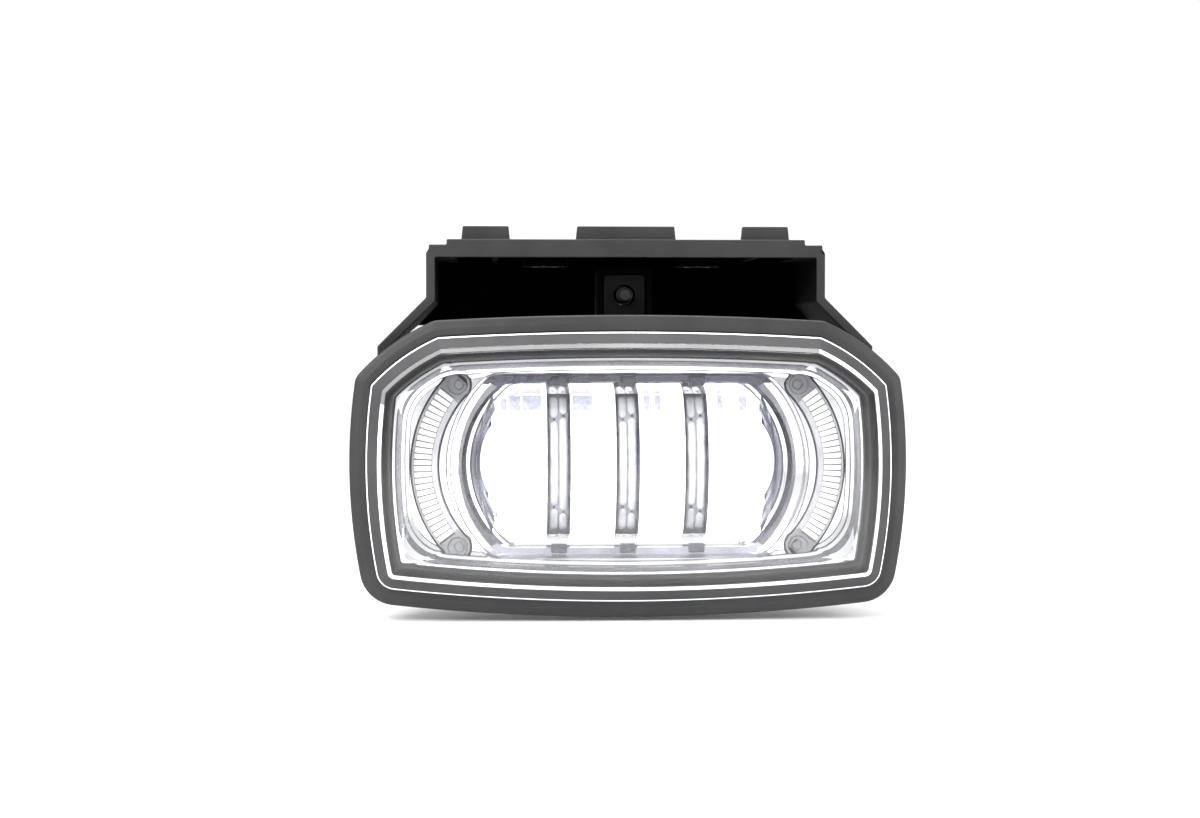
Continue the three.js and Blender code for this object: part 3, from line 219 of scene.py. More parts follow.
def racetrack(width, height, end_bow, radius, steps=24):
    """Outline with straight long edges and bowed ends."""
    x, flat = width - end_bow, 0.1
    return bowed_outline([
        (x, -height, radius, end_bow, steps),
        (x, height, radius, flat, 4),
        (-x, height, radius, end_bow, steps),
        (-x, -height, radius, flat, 4),
    ])


def bowl_outline(end, top):
    """The bowl's racetrack, smaller by `end` at its ends and by `top` above and below."""
    return racetrack(BOWL_WIDTH - end, BOWL_HEIGHT - top, BOWL_BOW, max(BOWL_CORNER - top, 3))


def drl_outline(side, half, angle, shift=0, ends=True, steps=48):
    """Band along a running-light arc, round at its ends if asked; `shift` moves it outwards."""
    radius = DRL_RADIUS + shift

    def cap(turn, start):
        at = (radius * math.cos(turn), radius * math.sin(turn))
        return arc(at, half, start, start + math.pi, 20)[1:-1] if ends else []

    points = arc((0, 0), radius + half, -angle, angle, steps) + cap(angle, angle)
    points += arc((0, 0), radius - half, angle, -angle, steps) + cap(-angle, math.pi - angle)
    return [(side * (DRL_CENTRE + x), z) for x, z in points]


# Solids


def reshape(mesh, work):
    """Edits a mesh as a bmesh."""
    shape = bmesh.new()
    shape.from_mesh(mesh)
    work(shape)
    shape.to_mesh(mesh)
    shape.free()


def solid(points, faces):
    """Closed mesh object from points in the lamp's millimetres."""
    mesh = bpy.data.meshes.new("solid")
    mesh.from_pydata(points, [], faces)

    def close(shape):
        bmesh.ops.recalc_face_normals(shape, faces=shape.faces)
        bmesh.ops.triangulate(shape, faces=[face for face in shape.faces if len(face.verts) > 4])

    reshape(mesh, close)
    return as_object(mesh)


def as_object(mesh):
    piece = bpy.data.objects.new("solid", mesh)
    bpy.context.scene.collection.objects.link(piece)
    return piece


def baked(piece, *used):
    """A piece with its modifiers applied; the old one and what it used are removed."""
    bpy.context.view_layer.update()
    graph = bpy.context.evaluated_depsgraph_get()
    result = as_object(bpy.data.meshes.new_from_object(piece.evaluated_get(graph)))
    for old in (piece, *used):
        bpy.data.objects.remove(old)
    return result


def bands(count, pairs):
    """Faces between pairs of rows that hold `count` points each."""
    return [(a * count + i, a * count + (i + 1) % count, b * count + (i + 1) % count, b * count + i)
            for a, b in pairs for i in range(count)]


def loft(rows, closed=False):
    """Skin over rows of points; the ends are capped, or joined to each other if `closed`."""
    count, last = len(rows[0]), len(rows) - 1
    faces = bands(count, [(r, r + 1) for r in range(last)] + ([(last, 0)] if closed else []))
    if not closed:
        faces += [tuple(range(count)), tuple(last * count + i for i in range(count))]
    return solid([p for row in rows for p in row], faces)


def standing(levels):
    """Rows of points from outlines that stand across y: [(outline, y), ...]."""
    return [[(x, y, z) for x, z in outline] for outline, y in levels]


def skin(levels, closed=False):
    return loft(standing(levels), closed)


def rings(levels):
    """Front outlines for skin(), from (inset, y) or (inset, y, least corner radius)."""
    return [(front_outline(level[0], *level[2:]), level[1]) for level in levels]


def along(axis, outline, place):
    """Outline's points put across an axis: (x, z) across y, (y, z) across x, (x, y) across z."""
    order = {"x": (2, 0, 1), "y": (0, 2, 1), "z": (0, 1, 2)}[axis]
    return [tuple((a, b, place)[i] for i in order) for a, b in outline]


def prism(axis, outline, ends):
    """Outline run along an axis between two places."""
    return loft([along(axis, outline, place) for place in ends])


def box(x, y, z):
    return prism("y", [(x[0], z[0]), (x[1], z[0]), (x[1], z[1]), (x[0], z[1])], y)


def rod(axis, at, radius, ends, steps=48):
    return prism(axis, circle(radius, steps, at), ends)


def turned(axis, at, profile, steps=56, closed=False):
    """Turned solid from (place along the axis, radius) pairs; `closed` leaves a bore through it."""
    return loft([along(axis, circle(radius, steps, at), place) for place, radius in profile], closed)


def combine(operation, base, tools):
    """The base joined with, or cut by, the tools, which are used up."""
    for tool in tools:
        step = base.modifiers.new(operation, "BOOLEAN")
        step.operation, step.solver, step.object = operation, "MANIFOLD", tool
    return baked(base, *tools)


def join(base, *parts):
    return combine("UNION", base, parts)


def cut(base, *tools):
    return combine("DIFFERENCE", base, tools)


def gather(*parts):
    """Separate solids as one object, without a boolean."""
    shape = bmesh.new()
    for part in parts:
        shape.from_mesh(part.data)
        bpy.data.objects.remove(part)
    mesh = bpy.data.meshes.new("solid")
    shape.to_mesh(mesh)
    shape.free()
    return as_object(mesh)


def soften(piece, width=0.35, segments=2, angle=32):
    """Rounds a solid's sharp edges."""
    reshape(piece.data, lambda shape: bmesh.ops.remove_doubles(shape, verts=shape.verts, dist=0.01))
    step = piece.modifiers.new("edges", "BEVEL")
    step.width, step.segments = width, segments
    step.limit_method, step.angle_limit = "ANGLE", math.radians(angle)
    step.use_clamp_overlap, step.miter_outer = False, "MITER_ARC"
    return baked(piece)


def paint(piece, rule):
    """Gives each face the material slot that the rule says for its middle and normal."""
    for face in piece.data.polygons:
        face.material_index = rule(face.center, face.normal)
    return piece


def show(piece, name, materials, stands_for=(), body="lamp", smooth=32):
    """Moves a finished solid to the row frame, names it, and puts it on its body."""
    mesh = piece.data
    mesh.transform(Matrix.Translation(ORIGIN) @ Matrix.Scale(MM, 4))
    piece.name = mesh.name = name
    slots = [face.material_index for face in mesh.polygons]
    mesh.materials.clear()
    for material in materials:
        mesh.materials.append(material)
    mesh.polygons.foreach_set("material_index", slots)
    mesh.shade_smooth()
    mesh.set_sharp_from_angle(angle=math.radians(smooth))
    piece.modifiers.new("normals", "WEIGHTED_NORMAL").keep_sharp = True
    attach(piece, body)
    if stands_for:
        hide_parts(*stands_for)


# Materials


def grey(value, blue=0.0):
    return (value, value, value + blue)


def add(tree, kind, **values):
    """New shader node with constants on its sockets; an underscore stands for a space."""
    node = tree.nodes.new("ShaderNode" + kind)
    for socket, value in values.items():
        node.inputs[socket.replace("_", " ")].default_value = value
    return node


def ramp(tree, low, high, places=(0.3, 0.7)):
    """Colour ramp from one colour to another."""
    node = add(tree, "ValToRGB")
    for stop, place, colour in zip(node.color_ramp.elements, places, (low, high)):
        stop.position, stop.color = place, (*colour, 1)
    return node


def wire(tree, *routes):
    """Links sockets; each route is a node, its output, a node and its input."""
    for source, output, target, entry in routes:
        tree.links.new(source.outputs[output], target.inputs[entry])


def surface(name, dark, light, rough, metallic=0, patch=60, grain=0, grain_size=900, emission=0, coat=0,
            specular=0.5):
    """Finish whose colour and roughness drift with noise and whose normal has a fine grain.

    A colour given as one number is a plain grey.
    """
    material = bpy.data.materials.new(name)
    material.use_nodes = True
    tree = material.node_tree
    shader = tree.nodes["Principled BSDF"]
    for socket, value in (("Metallic", metallic), ("Coat Weight", coat), ("Specular IOR Level", specular)):
        shader.inputs[socket].default_value = value
    place = add(tree, "TexCoord")
    drift = add(tree, "TexNoise", Scale=patch, Detail=5)
    tone = ramp(tree, *(grey(colour) if isinstance(colour, float) else colour for colour in (dark, light)))
    worn = add(tree, "MapRange", To_Min=rough[0], To_Max=rough[1])
    wire(tree, (place, "Object", drift, "Vector"), (drift, "Fac", tone, "Fac"), (drift, "Fac", worn, "Value"),
         (tone, "Color", shader, "Base Color"), (worn, "Result", shader, "Roughness"))
    if emission:
        wire(tree, (tone, "Color", shader, "Emission Color"))
        shader.inputs["Emission Strength"].default_value = emission
    if grain:
        pits = add(tree, "TexNoise", Scale=grain_size, Detail=3)
        bump = add(tree, "Bump", Strength=grain, Distance=0.0002)
        wire(tree, (place, "Object", pits, "Vector"), (pits, "Fac", bump, "Height"),
             (bump, "Normal", shader, "Normal"))
    return material


def clear_plastic(name, tint, rough=0.02):
    """Clear moulding that lets light straight through to what it covers."""
    material = surface(name, tint, (1, 1, 1), (rough, rough + 0.02), patch=25)
    tree = material.node_tree
    shader = tree.nodes["Principled BSDF"]
    shader.inputs["Transmission Weight"].default_value = 1
    shader.inputs["IOR"].default_value = 1.5
    rays, through, mix = (add(tree, kind) for kind in ("LightPath", "BsdfTransparent", "MixShader"))
    wire(tree, (rays, "Is Shadow Ray", mix, 0), (shader, 0, mix, 1), (through, 0, mix, 2),
         (mix, 0, tree.nodes["Material Output"], "Surface"))
    return material


def circuit_board(name, dark, light, track):
    """Lacquered board with a pattern of tracks."""
    material = surface(name, dark, light, (0.3, 0.45), patch=90, coat=0.3)
    tree = material.node_tree
    place, tone, shader = (tree.nodes[n] for n in ("Texture Coordinate", "Color Ramp", "Principled BSDF"))
    cells = add(tree, "TexVoronoi", Scale=260)
    cells.feature = "DISTANCE_TO_EDGE"
    lines = ramp(tree, (1, 1, 1), (0, 0, 0), (0.05, 0.09))
    mix = add(tree, "Mix")
    mix.data_type = "RGBA"
    mix.inputs["B"].default_value = (*track, 1)
    wire(tree, (place, "Object", cells, "Vector"), (cells, "Distance", lines, "Fac"),
         (lines, "Color", mix, "Factor"), (tone, "Color", mix, "A"), (mix, "Result", shader, "Base Color"))
    return material


BLACK = surface("moulded_black", 0.002, 0.005, (0.42, 0.58), patch=45, grain=0.5,
                grain_size=1500, specular=0.22)
# Painted shade: near-black for the hood's inner faces and for the housing's lug inside the hood.
BLACK_PAINTED_SHADE = surface("painted_shade_black", 0.0004, 0.001, (0.75, 0.9), patch=45, grain=0.3, specular=0.03)
# Painted highlight: a lighter black for the hood's front faces and the tabs above the deck.
BLACK_PAINTED_HIGHLIGHT = surface("moulded_black_painted_highlight", 0.014, 0.023, (0.4, 0.55), patch=45, grain=0.4,
                     grain_size=1500, specular=0.3)
CASTING = surface("painted_casting", grey(0.013, 0.001), grey(0.024, 0.001), (0.36, 0.5), patch=40,
                  grain=0.35, grain_size=1100, specular=0.4)
LIP = surface("painted_lip", grey(0.03, 0.001), grey(0.05, 0.002), (0.45, 0.6), patch=30, grain=0.2,
              specular=0.3)
SEAL = surface("grey_sealant", grey(0.16, 0.01), grey(0.21, 0.012), (0.5, 0.7), grain=0.4, grain_size=600)
CHROME = surface("chrome", grey(0.93, 0.01), grey(0.97, 0.01), (0.05, 0.12), metallic=1, patch=18)
# Painted light on the chrome: grey for dark reflections on step walls, near-black for shade round the bowl
# and in the slots, mid grey for the lighter half of that shade.
CHROME_PAINTED_REFLECTION = surface("chrome_painted_dark_reflection", grey(0.16, 0.01), grey(0.26, 0.02), (0.15, 0.25), metallic=0.9, patch=50)
CHROME_PAINTED_SHADE = surface("chrome_painted_shade", grey(0.035, 0.012), grey(0.09, 0.03), (0.2, 0.35), metallic=0.8,
                      patch=120)
CHROME_PAINTED_HALF_SHADE = surface("chrome_painted_half_shade", grey(0.36, 0.05), grey(0.55, 0.08), (0.2, 0.3), metallic=0.8, patch=100)
LENS = clear_plastic("clear_lens", (0.96, 0.97, 0.98))
LENS_FLANGE_AND_PAINTED_SHADE = surface("lens_flange_and_painted_shade", grey(0.04, 0.002), grey(0.065, 0.003), (0.45, 0.6), patch=35,
                      grain=0.1, specular=0.18)
# Painted highlight: white, faintly glowing lens beads; painted shade: grey where the inner bead catches
# little light.
LENS_PAINTED_HIGHLIGHT = surface("lens_edge_painted_highlight", 0.88, 0.98, (0.08, 0.15), patch=30, emission=0.3, coat=1)
LENS_PAINTED_SHADE = surface("lens_edge_painted_shade", 0.14, 0.22, (0.3, 0.45), patch=30, specular=0.3)
# Painted light: the guide's ribs glow faintly and its grooves are painted dark grey as shade.
GUIDE_PAINTED_GLOW = surface("guide_painted_glow", (0.7, 0.71, 0.68), (0.86, 0.86, 0.85), (0.15, 0.25), patch=120, emission=0.12)
GUIDE_GROOVE_PAINTED_SHADE = surface("guide_groove_painted_shade", grey(0.1, 0.01), grey(0.18, 0.01), (0.3, 0.4), patch=200)
TRAY = surface("grey_tray", grey(0.13, 0.01), grey(0.2, 0.015), (0.35, 0.5), patch=180, grain=0.15)
TRAY_LIGHT = surface("pale_tray", grey(0.3, 0.02), grey(0.42, 0.02), (0.25, 0.4), patch=150)
# Painted light: the clear optic's cells and bulges glow white.
CELL_PAINTED_GLOW = surface("optic_cell_painted_glow", 0.97, 1.0, (0.1, 0.15), emission=1.1)
BAR = surface("fluted_bar", grey(0.42, 0.03), grey(0.66, 0.04), (0.12, 0.2), patch=160, coat=0.6)
BAR_FLOOR = surface("bar_floor", grey(0.24, 0.02), grey(0.38, 0.03), (0.15, 0.25), patch=160, coat=0.4)
BAR_DARK = surface("bar_shade", grey(0.03, 0.01), grey(0.08, 0.02), (0.2, 0.35), patch=160)
MIRROR_PATCH = surface("board_reflection", (0.5, 0.5, 0.62), (0.74, 0.74, 0.84), (0.2, 0.3), patch=700)
ALUMINIUM = surface("cast_aluminium", 0.42, 0.56, (0.38, 0.55), metallic=1, patch=50,
                    grain=0.5, grain_size=700)
STEEL = surface("plated_steel", grey(0.5, 0.01), grey(0.66, 0.01), (0.22, 0.38), metallic=1, patch=90,
                grain=0.12)
NYLON_BLACK = surface("black_nylon", 0.001, 0.003, (0.5, 0.6), patch=70, grain=0.2, specular=0.08)
STEEL_BLACK = surface("phosphated_steel", 0.008, 0.02, (0.45, 0.6), metallic=0.6, patch=90, grain=0.2)
NYLON = surface("natural_nylon", (0.6, 0.57, 0.48), (0.72, 0.69, 0.6), (0.4, 0.5), patch=70, grain=0.15)
RUBBER = surface("rubber", 0.012, 0.022, (0.7, 0.85), patch=80, grain=0.4)
BRASS = surface("brass", (0.62, 0.46, 0.2), (0.75, 0.57, 0.26), (0.25, 0.4), metallic=1, patch=120)
SHEATH = surface("lead_sheath", 0.02, 0.035, (0.4, 0.5), patch=200, grain=0.2)
MEMBRANE = surface("vent_membrane", 0.7, 0.82, (0.6, 0.8), patch=300, grain=0.5, grain_size=3000)
GREEN_BOARD = circuit_board("driver_board", (0.02, 0.09, 0.035), (0.03, 0.13, 0.05), (0.08, 0.26, 0.1))
WHITE_BOARD = circuit_board("led_board", grey(0.72), grey(0.8), grey(0.6))
EMITTER = surface("led_emitter", (0.85, 0.78, 0.4), (0.95, 0.88, 0.5), (0.3, 0.4), patch=400, emission=0.4)

# Housing


def housing():
    """Casting with a rounded rim, a channel for the lens, a rear wall with openings, and its lugs."""
    turns = [math.radians(15 * i) for i in range(5, 0, -1)]
    corner = [(RIM_ROUND * (1 - math.sin(t)), RIM_ROUND * (1 - math.cos(t)) + 0.4) for t in turns]
    crest = RIM_EDGE / 2
    body = skin(rings([
        (BODY_REAR_INSET, HOUSING_DEPTH), (BODY_REAR_INSET - 0.5, HOUSING_DEPTH - 0.6),
        (BODY_INSET, BODY_START), (SHOULDER_INSET + 0.5, RIM_DEPTH + 0.8), (SHOULDER_INSET - 0.6, RIM_DEPTH),
        (0.5, RIM_DEPTH), (0, RIM_DEPTH - 0.5), (0, RIM_ROUND + 0.4), *corner, (RIM_ROUND, 0.42),
        (crest, 0.05), (crest + 0.4, 0), (RIM_EDGE - 0.35, 0), (RIM_EDGE - 0.1, 0.1)]))
    cavity = skin(rings([
        (BODY_REAR_INSET + HOUSING_WALL, CAVITY_END), (BODY_INSET + HOUSING_WALL, BODY_START + 1),
        (CAVITY_MOUTH, RIM_DEPTH), (CAVITY_MOUTH, -PAST)]))
    recess = skin(rings([(RIM_EDGE, LIP_SETBACK), (RIM_EDGE, 0.35), (RIM_EDGE - 0.35, -0.1),
                         (RIM_EDGE - 0.35, -PAST)]))
    inner = RIM_EDGE + CHANNEL_WIDTH
    channel = cut(skin(rings([(RIM_EDGE, CHANNEL_DEPTH), (RIM_EDGE, 0.5)])),
                  skin(rings([(inner, CHANNEL_DEPTH + PAST), (inner, 0)])))
    whole = join(cut(body, cavity, recess, channel), *housing_additions())
    whole = soften(cut(whole, *housing_holes()), 0.3)

    # Slot 2 paints the lug inside the hood near-black as painted shade.
    def finish(middle, _normal):
        inside = 0.3 < middle.y < CHANNEL_DEPTH + 0.5 and within(middle, RIM_EDGE + 0.2)
        on_lug = middle.y > RIM_DEPTH + 1 and middle.z > HALF_HEIGHT - BODY_REAR_INSET + 0.5
        return 1 if inside else 2 if on_lug else 0

    show(paint(whole, finish), "rear_housing_casting", [CASTING, LIP, BLACK_PAINTED_SHADE],
         ["rear_housing"], smooth=28)


@cache
def edges_of(inset):
    """Edges of the front outline moved inwards by `inset`."""
    outline = front_outline(inset)
    return list(zip(outline, outline[1:] + outline[:1]))


def within(point, inset):
    """Whether a point lies inside the front outline moved inwards by `inset`."""
    return all((b[0] - a[0]) * (point.z - a[1]) >= (b[1] - a[1]) * (point.x - a[0])
               for a, b in edges_of(inset))


def housing_additions():
    """Screw and pivot bosses, the aiming lug with its gussets, and the ribs under the body."""
    bosses = [rod("y", at, 3.6, (CAVITY_END - 7, CAVITY_END + PAST)) for at in SINK_SCREWS]
    cone = [(HALF_WIDTH - BODY_REAR_INSET - PAST, 7.9), (BOSS_END - 0.5, 7.5), (BOSS_END, 7.1)]
    pivots = [turned("x", PIVOT_AT, [(side * t, r) for t, r in cone]) for side in (-1, 1)]
    front, back, half = LUG["front"], LUG["back"], LUG["half"]
    foot, top, radius = HALF_HEIGHT - BODY_REAR_INSET - PAST, ADJUSTER_AT[1] + half, 2
    crown = [(half, foot), (half, top - radius)]
    crown += arc((half - radius, top - radius), radius, 0, math.pi / 2, 6)
    crown += arc((radius - half, top - radius), radius, math.pi / 2, math.pi, 6)
    block = prism("y", [*crown, (-half, foot)], (front, back))
    low, high = foot + 0.6, ADJUSTER_AT[1] - half + 1
    web = [(front - 9, low), (back, low), (back, high), (front, high)]
    gussets = [prism("x", web, span(half - 3, half, side)) for side in (-1, 1)]
    ribs = [box((x - 0.9, x + 0.9), (RIM_DEPTH - PAST, BODY_START + 6),
                span(HALF_HEIGHT - BODY_INSET - 3.5, HALF_HEIGHT - 9.5, -1)) for x in (-48, -16, 16, 48)]
    return [*bosses, *pivots, block, *gussets, *ribs]


def housing_holes():
    """Openings of the rear wall, the screw holes and the nut's window in the lug."""
    through = (CAVITY_END - PAST, HOUSING_DEPTH + PAST)
    opening = box(span(-SINK_OPENING[0], SINK_OPENING[0]), through, span(-SINK_OPENING[1], SINK_OPENING[1]))
    pilots = [rod("y", at, 1.9, (CAVITY_END - 5, HOUSING_DEPTH + PAST)) for at in SINK_SCREWS]
    pivots = [rod("x", PIVOT_AT, 2.7, span(BOSS_END - 5.6, BOSS_END + PAST, side)) for side in (-1, 1)]
    window, height = NUT_HALF + FIT, ADJUSTER_AT[1]
    nut = box((-window, window), (LUG["front"] - PAST, LUG["back"] + PAST),
              (height - window, height + window))
    middle = middle_of(CONNECTOR)[0]
    pins = box((middle - 3.4, middle + 3.4), through, (-5.4, 5.4))
    breather = rod("y", middle_of(VENT), 3.5, through)
    return [opening, *pilots, *pivots, nut, pins, breather]


# Lens


def lens():
    """Clear stepped cover: one shell with rounded steps and a shallow dome."""
    upper, crest = LENS_INNER + STEP_RUN, LENS_STEP - STEP_RISE
    outer = [(LENS_EDGE, SKIRT_DEPTH), (LENS_EDGE, 0.5 - LENS_SHOULDER), (LENS_EDGE + 0.15, -LENS_SHOULDER),
             (LENS_EDGE + 0.6, -LENS_SHOULDER - 0.6), (LENS_INNER - 0.3, LENS_STEP + 0.3),
             (LENS_INNER, LENS_STEP - 0.1), (upper - 0.1, crest + 0.1), (upper + 0.15, crest - 0.3),
             (upper + LENS_ROUND, crest - LENS_ROUND)]
    inner = [(inset + LENS_WALL, y + LENS_WALL) for inset, y in outer[1:]]
    shares = [0.985, 0.95, 0.88, 0.78, 0.65, 0.5, 0.34, 0.18, 0.06]

    def dome(edge, top):
        rim = front_outline(edge)
        return [([(x * s, z * s) for x, z in rim], top - DOME_RISE * (1 - s ** 2)) for s in shares]

    levels = rings(outer) + dome(*outer[-1]) + dome(*inner[-1])[::-1]
    levels += rings(reversed(inner)) + rings([(LENS_EDGE + LENS_WALL, SKIRT_DEPTH)])
    shell = lens_shell(standing(levels), len(outer) + len(shares))

    # The chamfer faces are painted grey for the glue flange seen through the clear lens; the inner step's
    # faces get the same grey as painted shade from the lens wall's thickness.
    def finish(middle, normal):
        on_flange = normal.y < -0.3 and middle.y > LENS_STEP - 0.2 and not within(middle, LENS_INNER)
        in_step = normal.y > 0.2 and within(middle, upper) and not within(middle, inner[-1][0])
        return 1 if on_flange or in_step else 0

    show(paint(shell, finish), "outer_lens_cover", [LENS, LENS_FLANGE_AND_PAINTED_SHADE], ["outer_lens"],
         smooth=24)


def lens_shell(rows, front_rows):
    """One closed skin over the outer rows, then the inner rows, each with its own flat cap."""
    count, last = len(rows[0]), len(rows) - 1
    faces = bands(count, [(r, r + 1) for r in range(last) if r != front_rows - 1] + [(last, 0)])
    faces.append(tuple((front_rows - 1) * count + i for i in range(count)))
    faces.append(tuple(front_rows * count + i for i in reversed(range(count))))
    return solid([p for row in rows for p in row], faces)


def lens_beads():
    """Beads round the lens on its two steps, painted white and glowing faintly as painted highlight lines."""
    low, upper, crest = -LENS_SHOULDER, LENS_INNER + STEP_RUN, LENS_STEP - STEP_RISE
    outer = [(LENS_EDGE - 0.12, low + 1.6), (LENS_EDGE - 0.12, low + 0.2), (LENS_EDGE + 0.05, low - 0.35),
             (LENS_EDGE + 0.4, low - 0.65), (LENS_EDGE + 0.55, low + 0.3), (LENS_EDGE + 0.2, low + 1.6)]
    inner = [(LENS_INNER + 0.2, LENS_STEP - 0.6), (upper - 0.3, crest + 0.1), (upper - 0.1, crest + 0.6),
             (LENS_INNER + 0.5, LENS_STEP + 0.1)]
    beads = {"lens_highlight_bead_outer": skin(rings(outer), closed=True),
             "lens_highlight_bead_inner": paint(skin(rings(inner), closed=True), shaded)}
    for name, bead in beads.items():
        show(bead, name, [LENS_PAINTED_HIGHLIGHT, LENS_PAINTED_SHADE], smooth=50)


def shaded(middle, _normal):
    """1 on the stretch of the inner bead, along the top and the left chamfer, that catches little light."""
    on_top = middle.z > HALF_HEIGHT - 15 and middle.x < HALF_WIDTH - CHAMFER_RUN - 6
    on_chamfer = middle.x < CHAMFER_RUN - 88 and middle.z > HALF_HEIGHT - 31
    return 1 if on_top or on_chamfer else 0


# Bezel


# The floor's steps: inset from the rim, depth, least corner radius
BEZEL_STEPS = [(21.4, BEZEL_FLOOR, 16), (21.1, 6.9, 16), (19.9, 6.7, 16.5), (19.5, 5.8, 16.5),
               (18.4, 5.5, 17), (17.7, 3.4, 13), (16.8, 2.8, 8), (16.2, -PAST - 1, 4)]
# The bowl's steps from behind the collar: inset at the ends, inset above and below, depth
BOWL_STEPS = [(9.8, 7.3, 22), (9.8, 7.3, 18), (8.2, 3.6, 15.2), (7.5, 3.3, 14.6), (6.2, 3.1, 14.2),
              (4.6, 2.9, 12), (3.4, 0.5, 11.7), (0.9, 0.1, 10.6), (0.2, 0, 8.6), (-0.6, -0.3, 8.2),
              (-1.2, -0.5, 7.2), (-1.2, -0.5, 5)]


def bezel():
    """Chromed surround: stepped floor, bowl round the optic, and slots for the running lights."""
    back = BEZEL_FLOOR + BEZEL_WALL
    outside = skin(rings([(BEZEL_EDGE + BEZEL_SIDE + BEZEL_WALL, back),
                          (BEZEL_EDGE + BEZEL_WALL / 2, BEZEL_FLOOR), (BEZEL_EDGE, BEZEL_FRONT)]))
    bowl = prism("y", bowl_outline(-BOWL_WALL, -BOWL_WALL), (back - PAST, BOWL_STEP + BOWL_WALL))
    collar = prism("y", bowl_outline(4.8, 2.3), (BOWL_STEP, COLLAR_END))
    legs = [rod("y", at, 2.2, (BOWL_STEP, CAVITY_END - FIT), 24) for at in corners_of(30, BOWL_HEIGHT - 2.4)]
    body = join(cut(outside, skin(rings(BEZEL_STEPS))), bowl, collar, *legs)
    hollow = skin([(bowl_outline(end, top), y) for end, top, y in BOWL_STEPS])
    lip = DRL_SLOT + 0.45
    levels = [(DRL_SLOT, back + PAST), (DRL_SLOT, BEZEL_FLOOR + 0.6), (lip, BEZEL_FLOOR - 0.05),
              (lip, BEZEL_FLOOR - PAST)]
    slots = [skin([(drl_outline(side, half, DRL_ANGLE), y) for half, y in levels]) for side in (-1, 1)]
    show(paint(cut(body, hollow, *slots), bezel_finish), "reflector_bezel_chrome",
         [CHROME, CHROME_PAINTED_REFLECTION, CHROME_PAINTED_SHADE, CHROME_PAINTED_HALF_SHADE], ["reflector_bezel"], smooth=24)
    show(bowl_clips(), "bezel_clips", [BAR_DARK])


def bezel_finish(middle, normal):
    """Chrome by depth and slope: bright floor, the steps' walls painted grey as dark reflections, and painted
    shade: a near-black band round the bowl, mid grey on its lower half, and near-black slot walls.
    """
    bright, edge, dark, half_shade = range(4)
    x, y, z = abs(middle.x), middle.y, abs(middle.z)
    if z < BOWL_HEIGHT + 1 and x < BOWL_WIDTH + 2 and y > BEZEL_FLOOR + 0.1:
        # The band round the bowl is painted shade: near-black above, mid grey below.
        if 10.7 < y < 14 and z > BOWL_HEIGHT - 4:
            return dark if middle.z > 0 else half_shade
        if 12.05 < y < 14.1:
            return dark
        if 11.65 < y < 12.05:
            return edge
    elif y > BEZEL_FLOOR - 0.2 and x > BOWL_WIDTH - 8 and abs(normal.y) < 0.9:
        return dark
    return edge if abs(normal.y) < 0.85 and 3 < y <= 15.3 else bright


def bowl_clips():
    """Small dark clips on the bowl's ledge, above and below each bar of the optic."""
    clips = [box((x - 2.9, x + 2.9), (10.9, 14), span(BOWL_HEIGHT - 4.2, BOWL_HEIGHT - 0.9, up))
             for x in BARS for up in (1, -1)]
    return soften(gather(*clips), 0.5, 3)


# Running lights


def running_light(name, side):
    """Tray with round pads at its ends, and the ribbed guide in its channel."""
    angle = DRL_ANGLE - DRL_PAD / DRL_RADIUS
    front, before, behind = DRL_FRONT, DRL_FRONT - PAST, DRL_BACK + PAST
    band = prism("y", drl_outline(side, DRL_SLOT - FIT, DRL_ANGLE), (front, DRL_BACK))
    channel = drl_outline(side, DRL_CHANNEL + 0.15, angle, DRL_SHIFT, ends=False)
    ends = [(side * (DRL_CENTRE + DRL_RADIUS * math.cos(DRL_ANGLE)), up * DRL_END) for up in (1, -1)]
    pads = [turned("y", at, [(before, 3.5), (front + 0.1, 3.5), (front + 0.45, 3.1)]) for at in ends]
    dimples = [turned("y", (x - side * 0.6, z), [(before, 1.7), (front + 0.5, 1.7), (front + 0.75, 1.3)])
               for x, z in ends]
    hook = prism("y", drl_outline(side, DRL_SLOT + 0.8, DRL_ANGLE * 0.75, ends=False), (9.8, 11.2))
    tray = soften(cut(join(band, hook), prism("y", channel, (before, behind)), *pads, *dimples), 0.22)

    def finish(middle, _normal):
        turn = abs(math.atan2(middle.z, side * middle.x - DRL_CENTRE))
        return 1 if turn * DRL_RADIUS < angle * DRL_RADIUS - 0.2 else 0

    show(paint(tray, finish), f"drl_tray_{name}_moulding", [TRAY, TRAY_LIGHT],
         [f"drl_tray_{name}"])
    show(ribbed_guide(side, angle - FIT / DRL_RADIUS), f"drl_guide_{name}_ribbed",
         [GUIDE_PAINTED_GLOW, GUIDE_GROOVE_PAINTED_SHADE], [f"drl_guide_{name}"], smooth=20)


def ribbed_guide(side, angle):
    """Light guide whose face is a row of ribs with narrow grooves between them; the ribs glow faintly as
    painted light and the grooves are painted dark grey as shade.
    """
    ribs, groove, depth = 26, 0.2, 0.55
    half, front, back, edge = DRL_CHANNEL, DRL_FRONT - 0.5, 11.2, 0.5
    across = [(0, depth), (groove / 2, depth), (groove, 0), (0.6, -0.12), (1 - groove / 4, 0)]
    stations = [(rib + share, sunk) for rib in range(ribs) for share, sunk in across] + [(ribs, depth)]
    rows = []
    for place, sunk in stations:
        turn = angle * (2 * place / ribs - 1)
        face = front + sunk
        section = [(-half, back), (-half, face + edge), (-half + edge, face), (half - edge, face),
                   (half, face + edge), (half, back)]
        rows.append([(side * (DRL_CENTRE + (DRL_RADIUS + DRL_SHIFT + r) * math.cos(turn)), y,
                      (DRL_RADIUS + DRL_SHIFT + r) * math.sin(turn)) for r, y in section])

    def finish(middle, normal):
        return 1 if front + 0.2 < middle.y < back - 0.5 and abs(normal.y) > 0.3 else 0

    return paint(loft(rows), finish)


# Optic


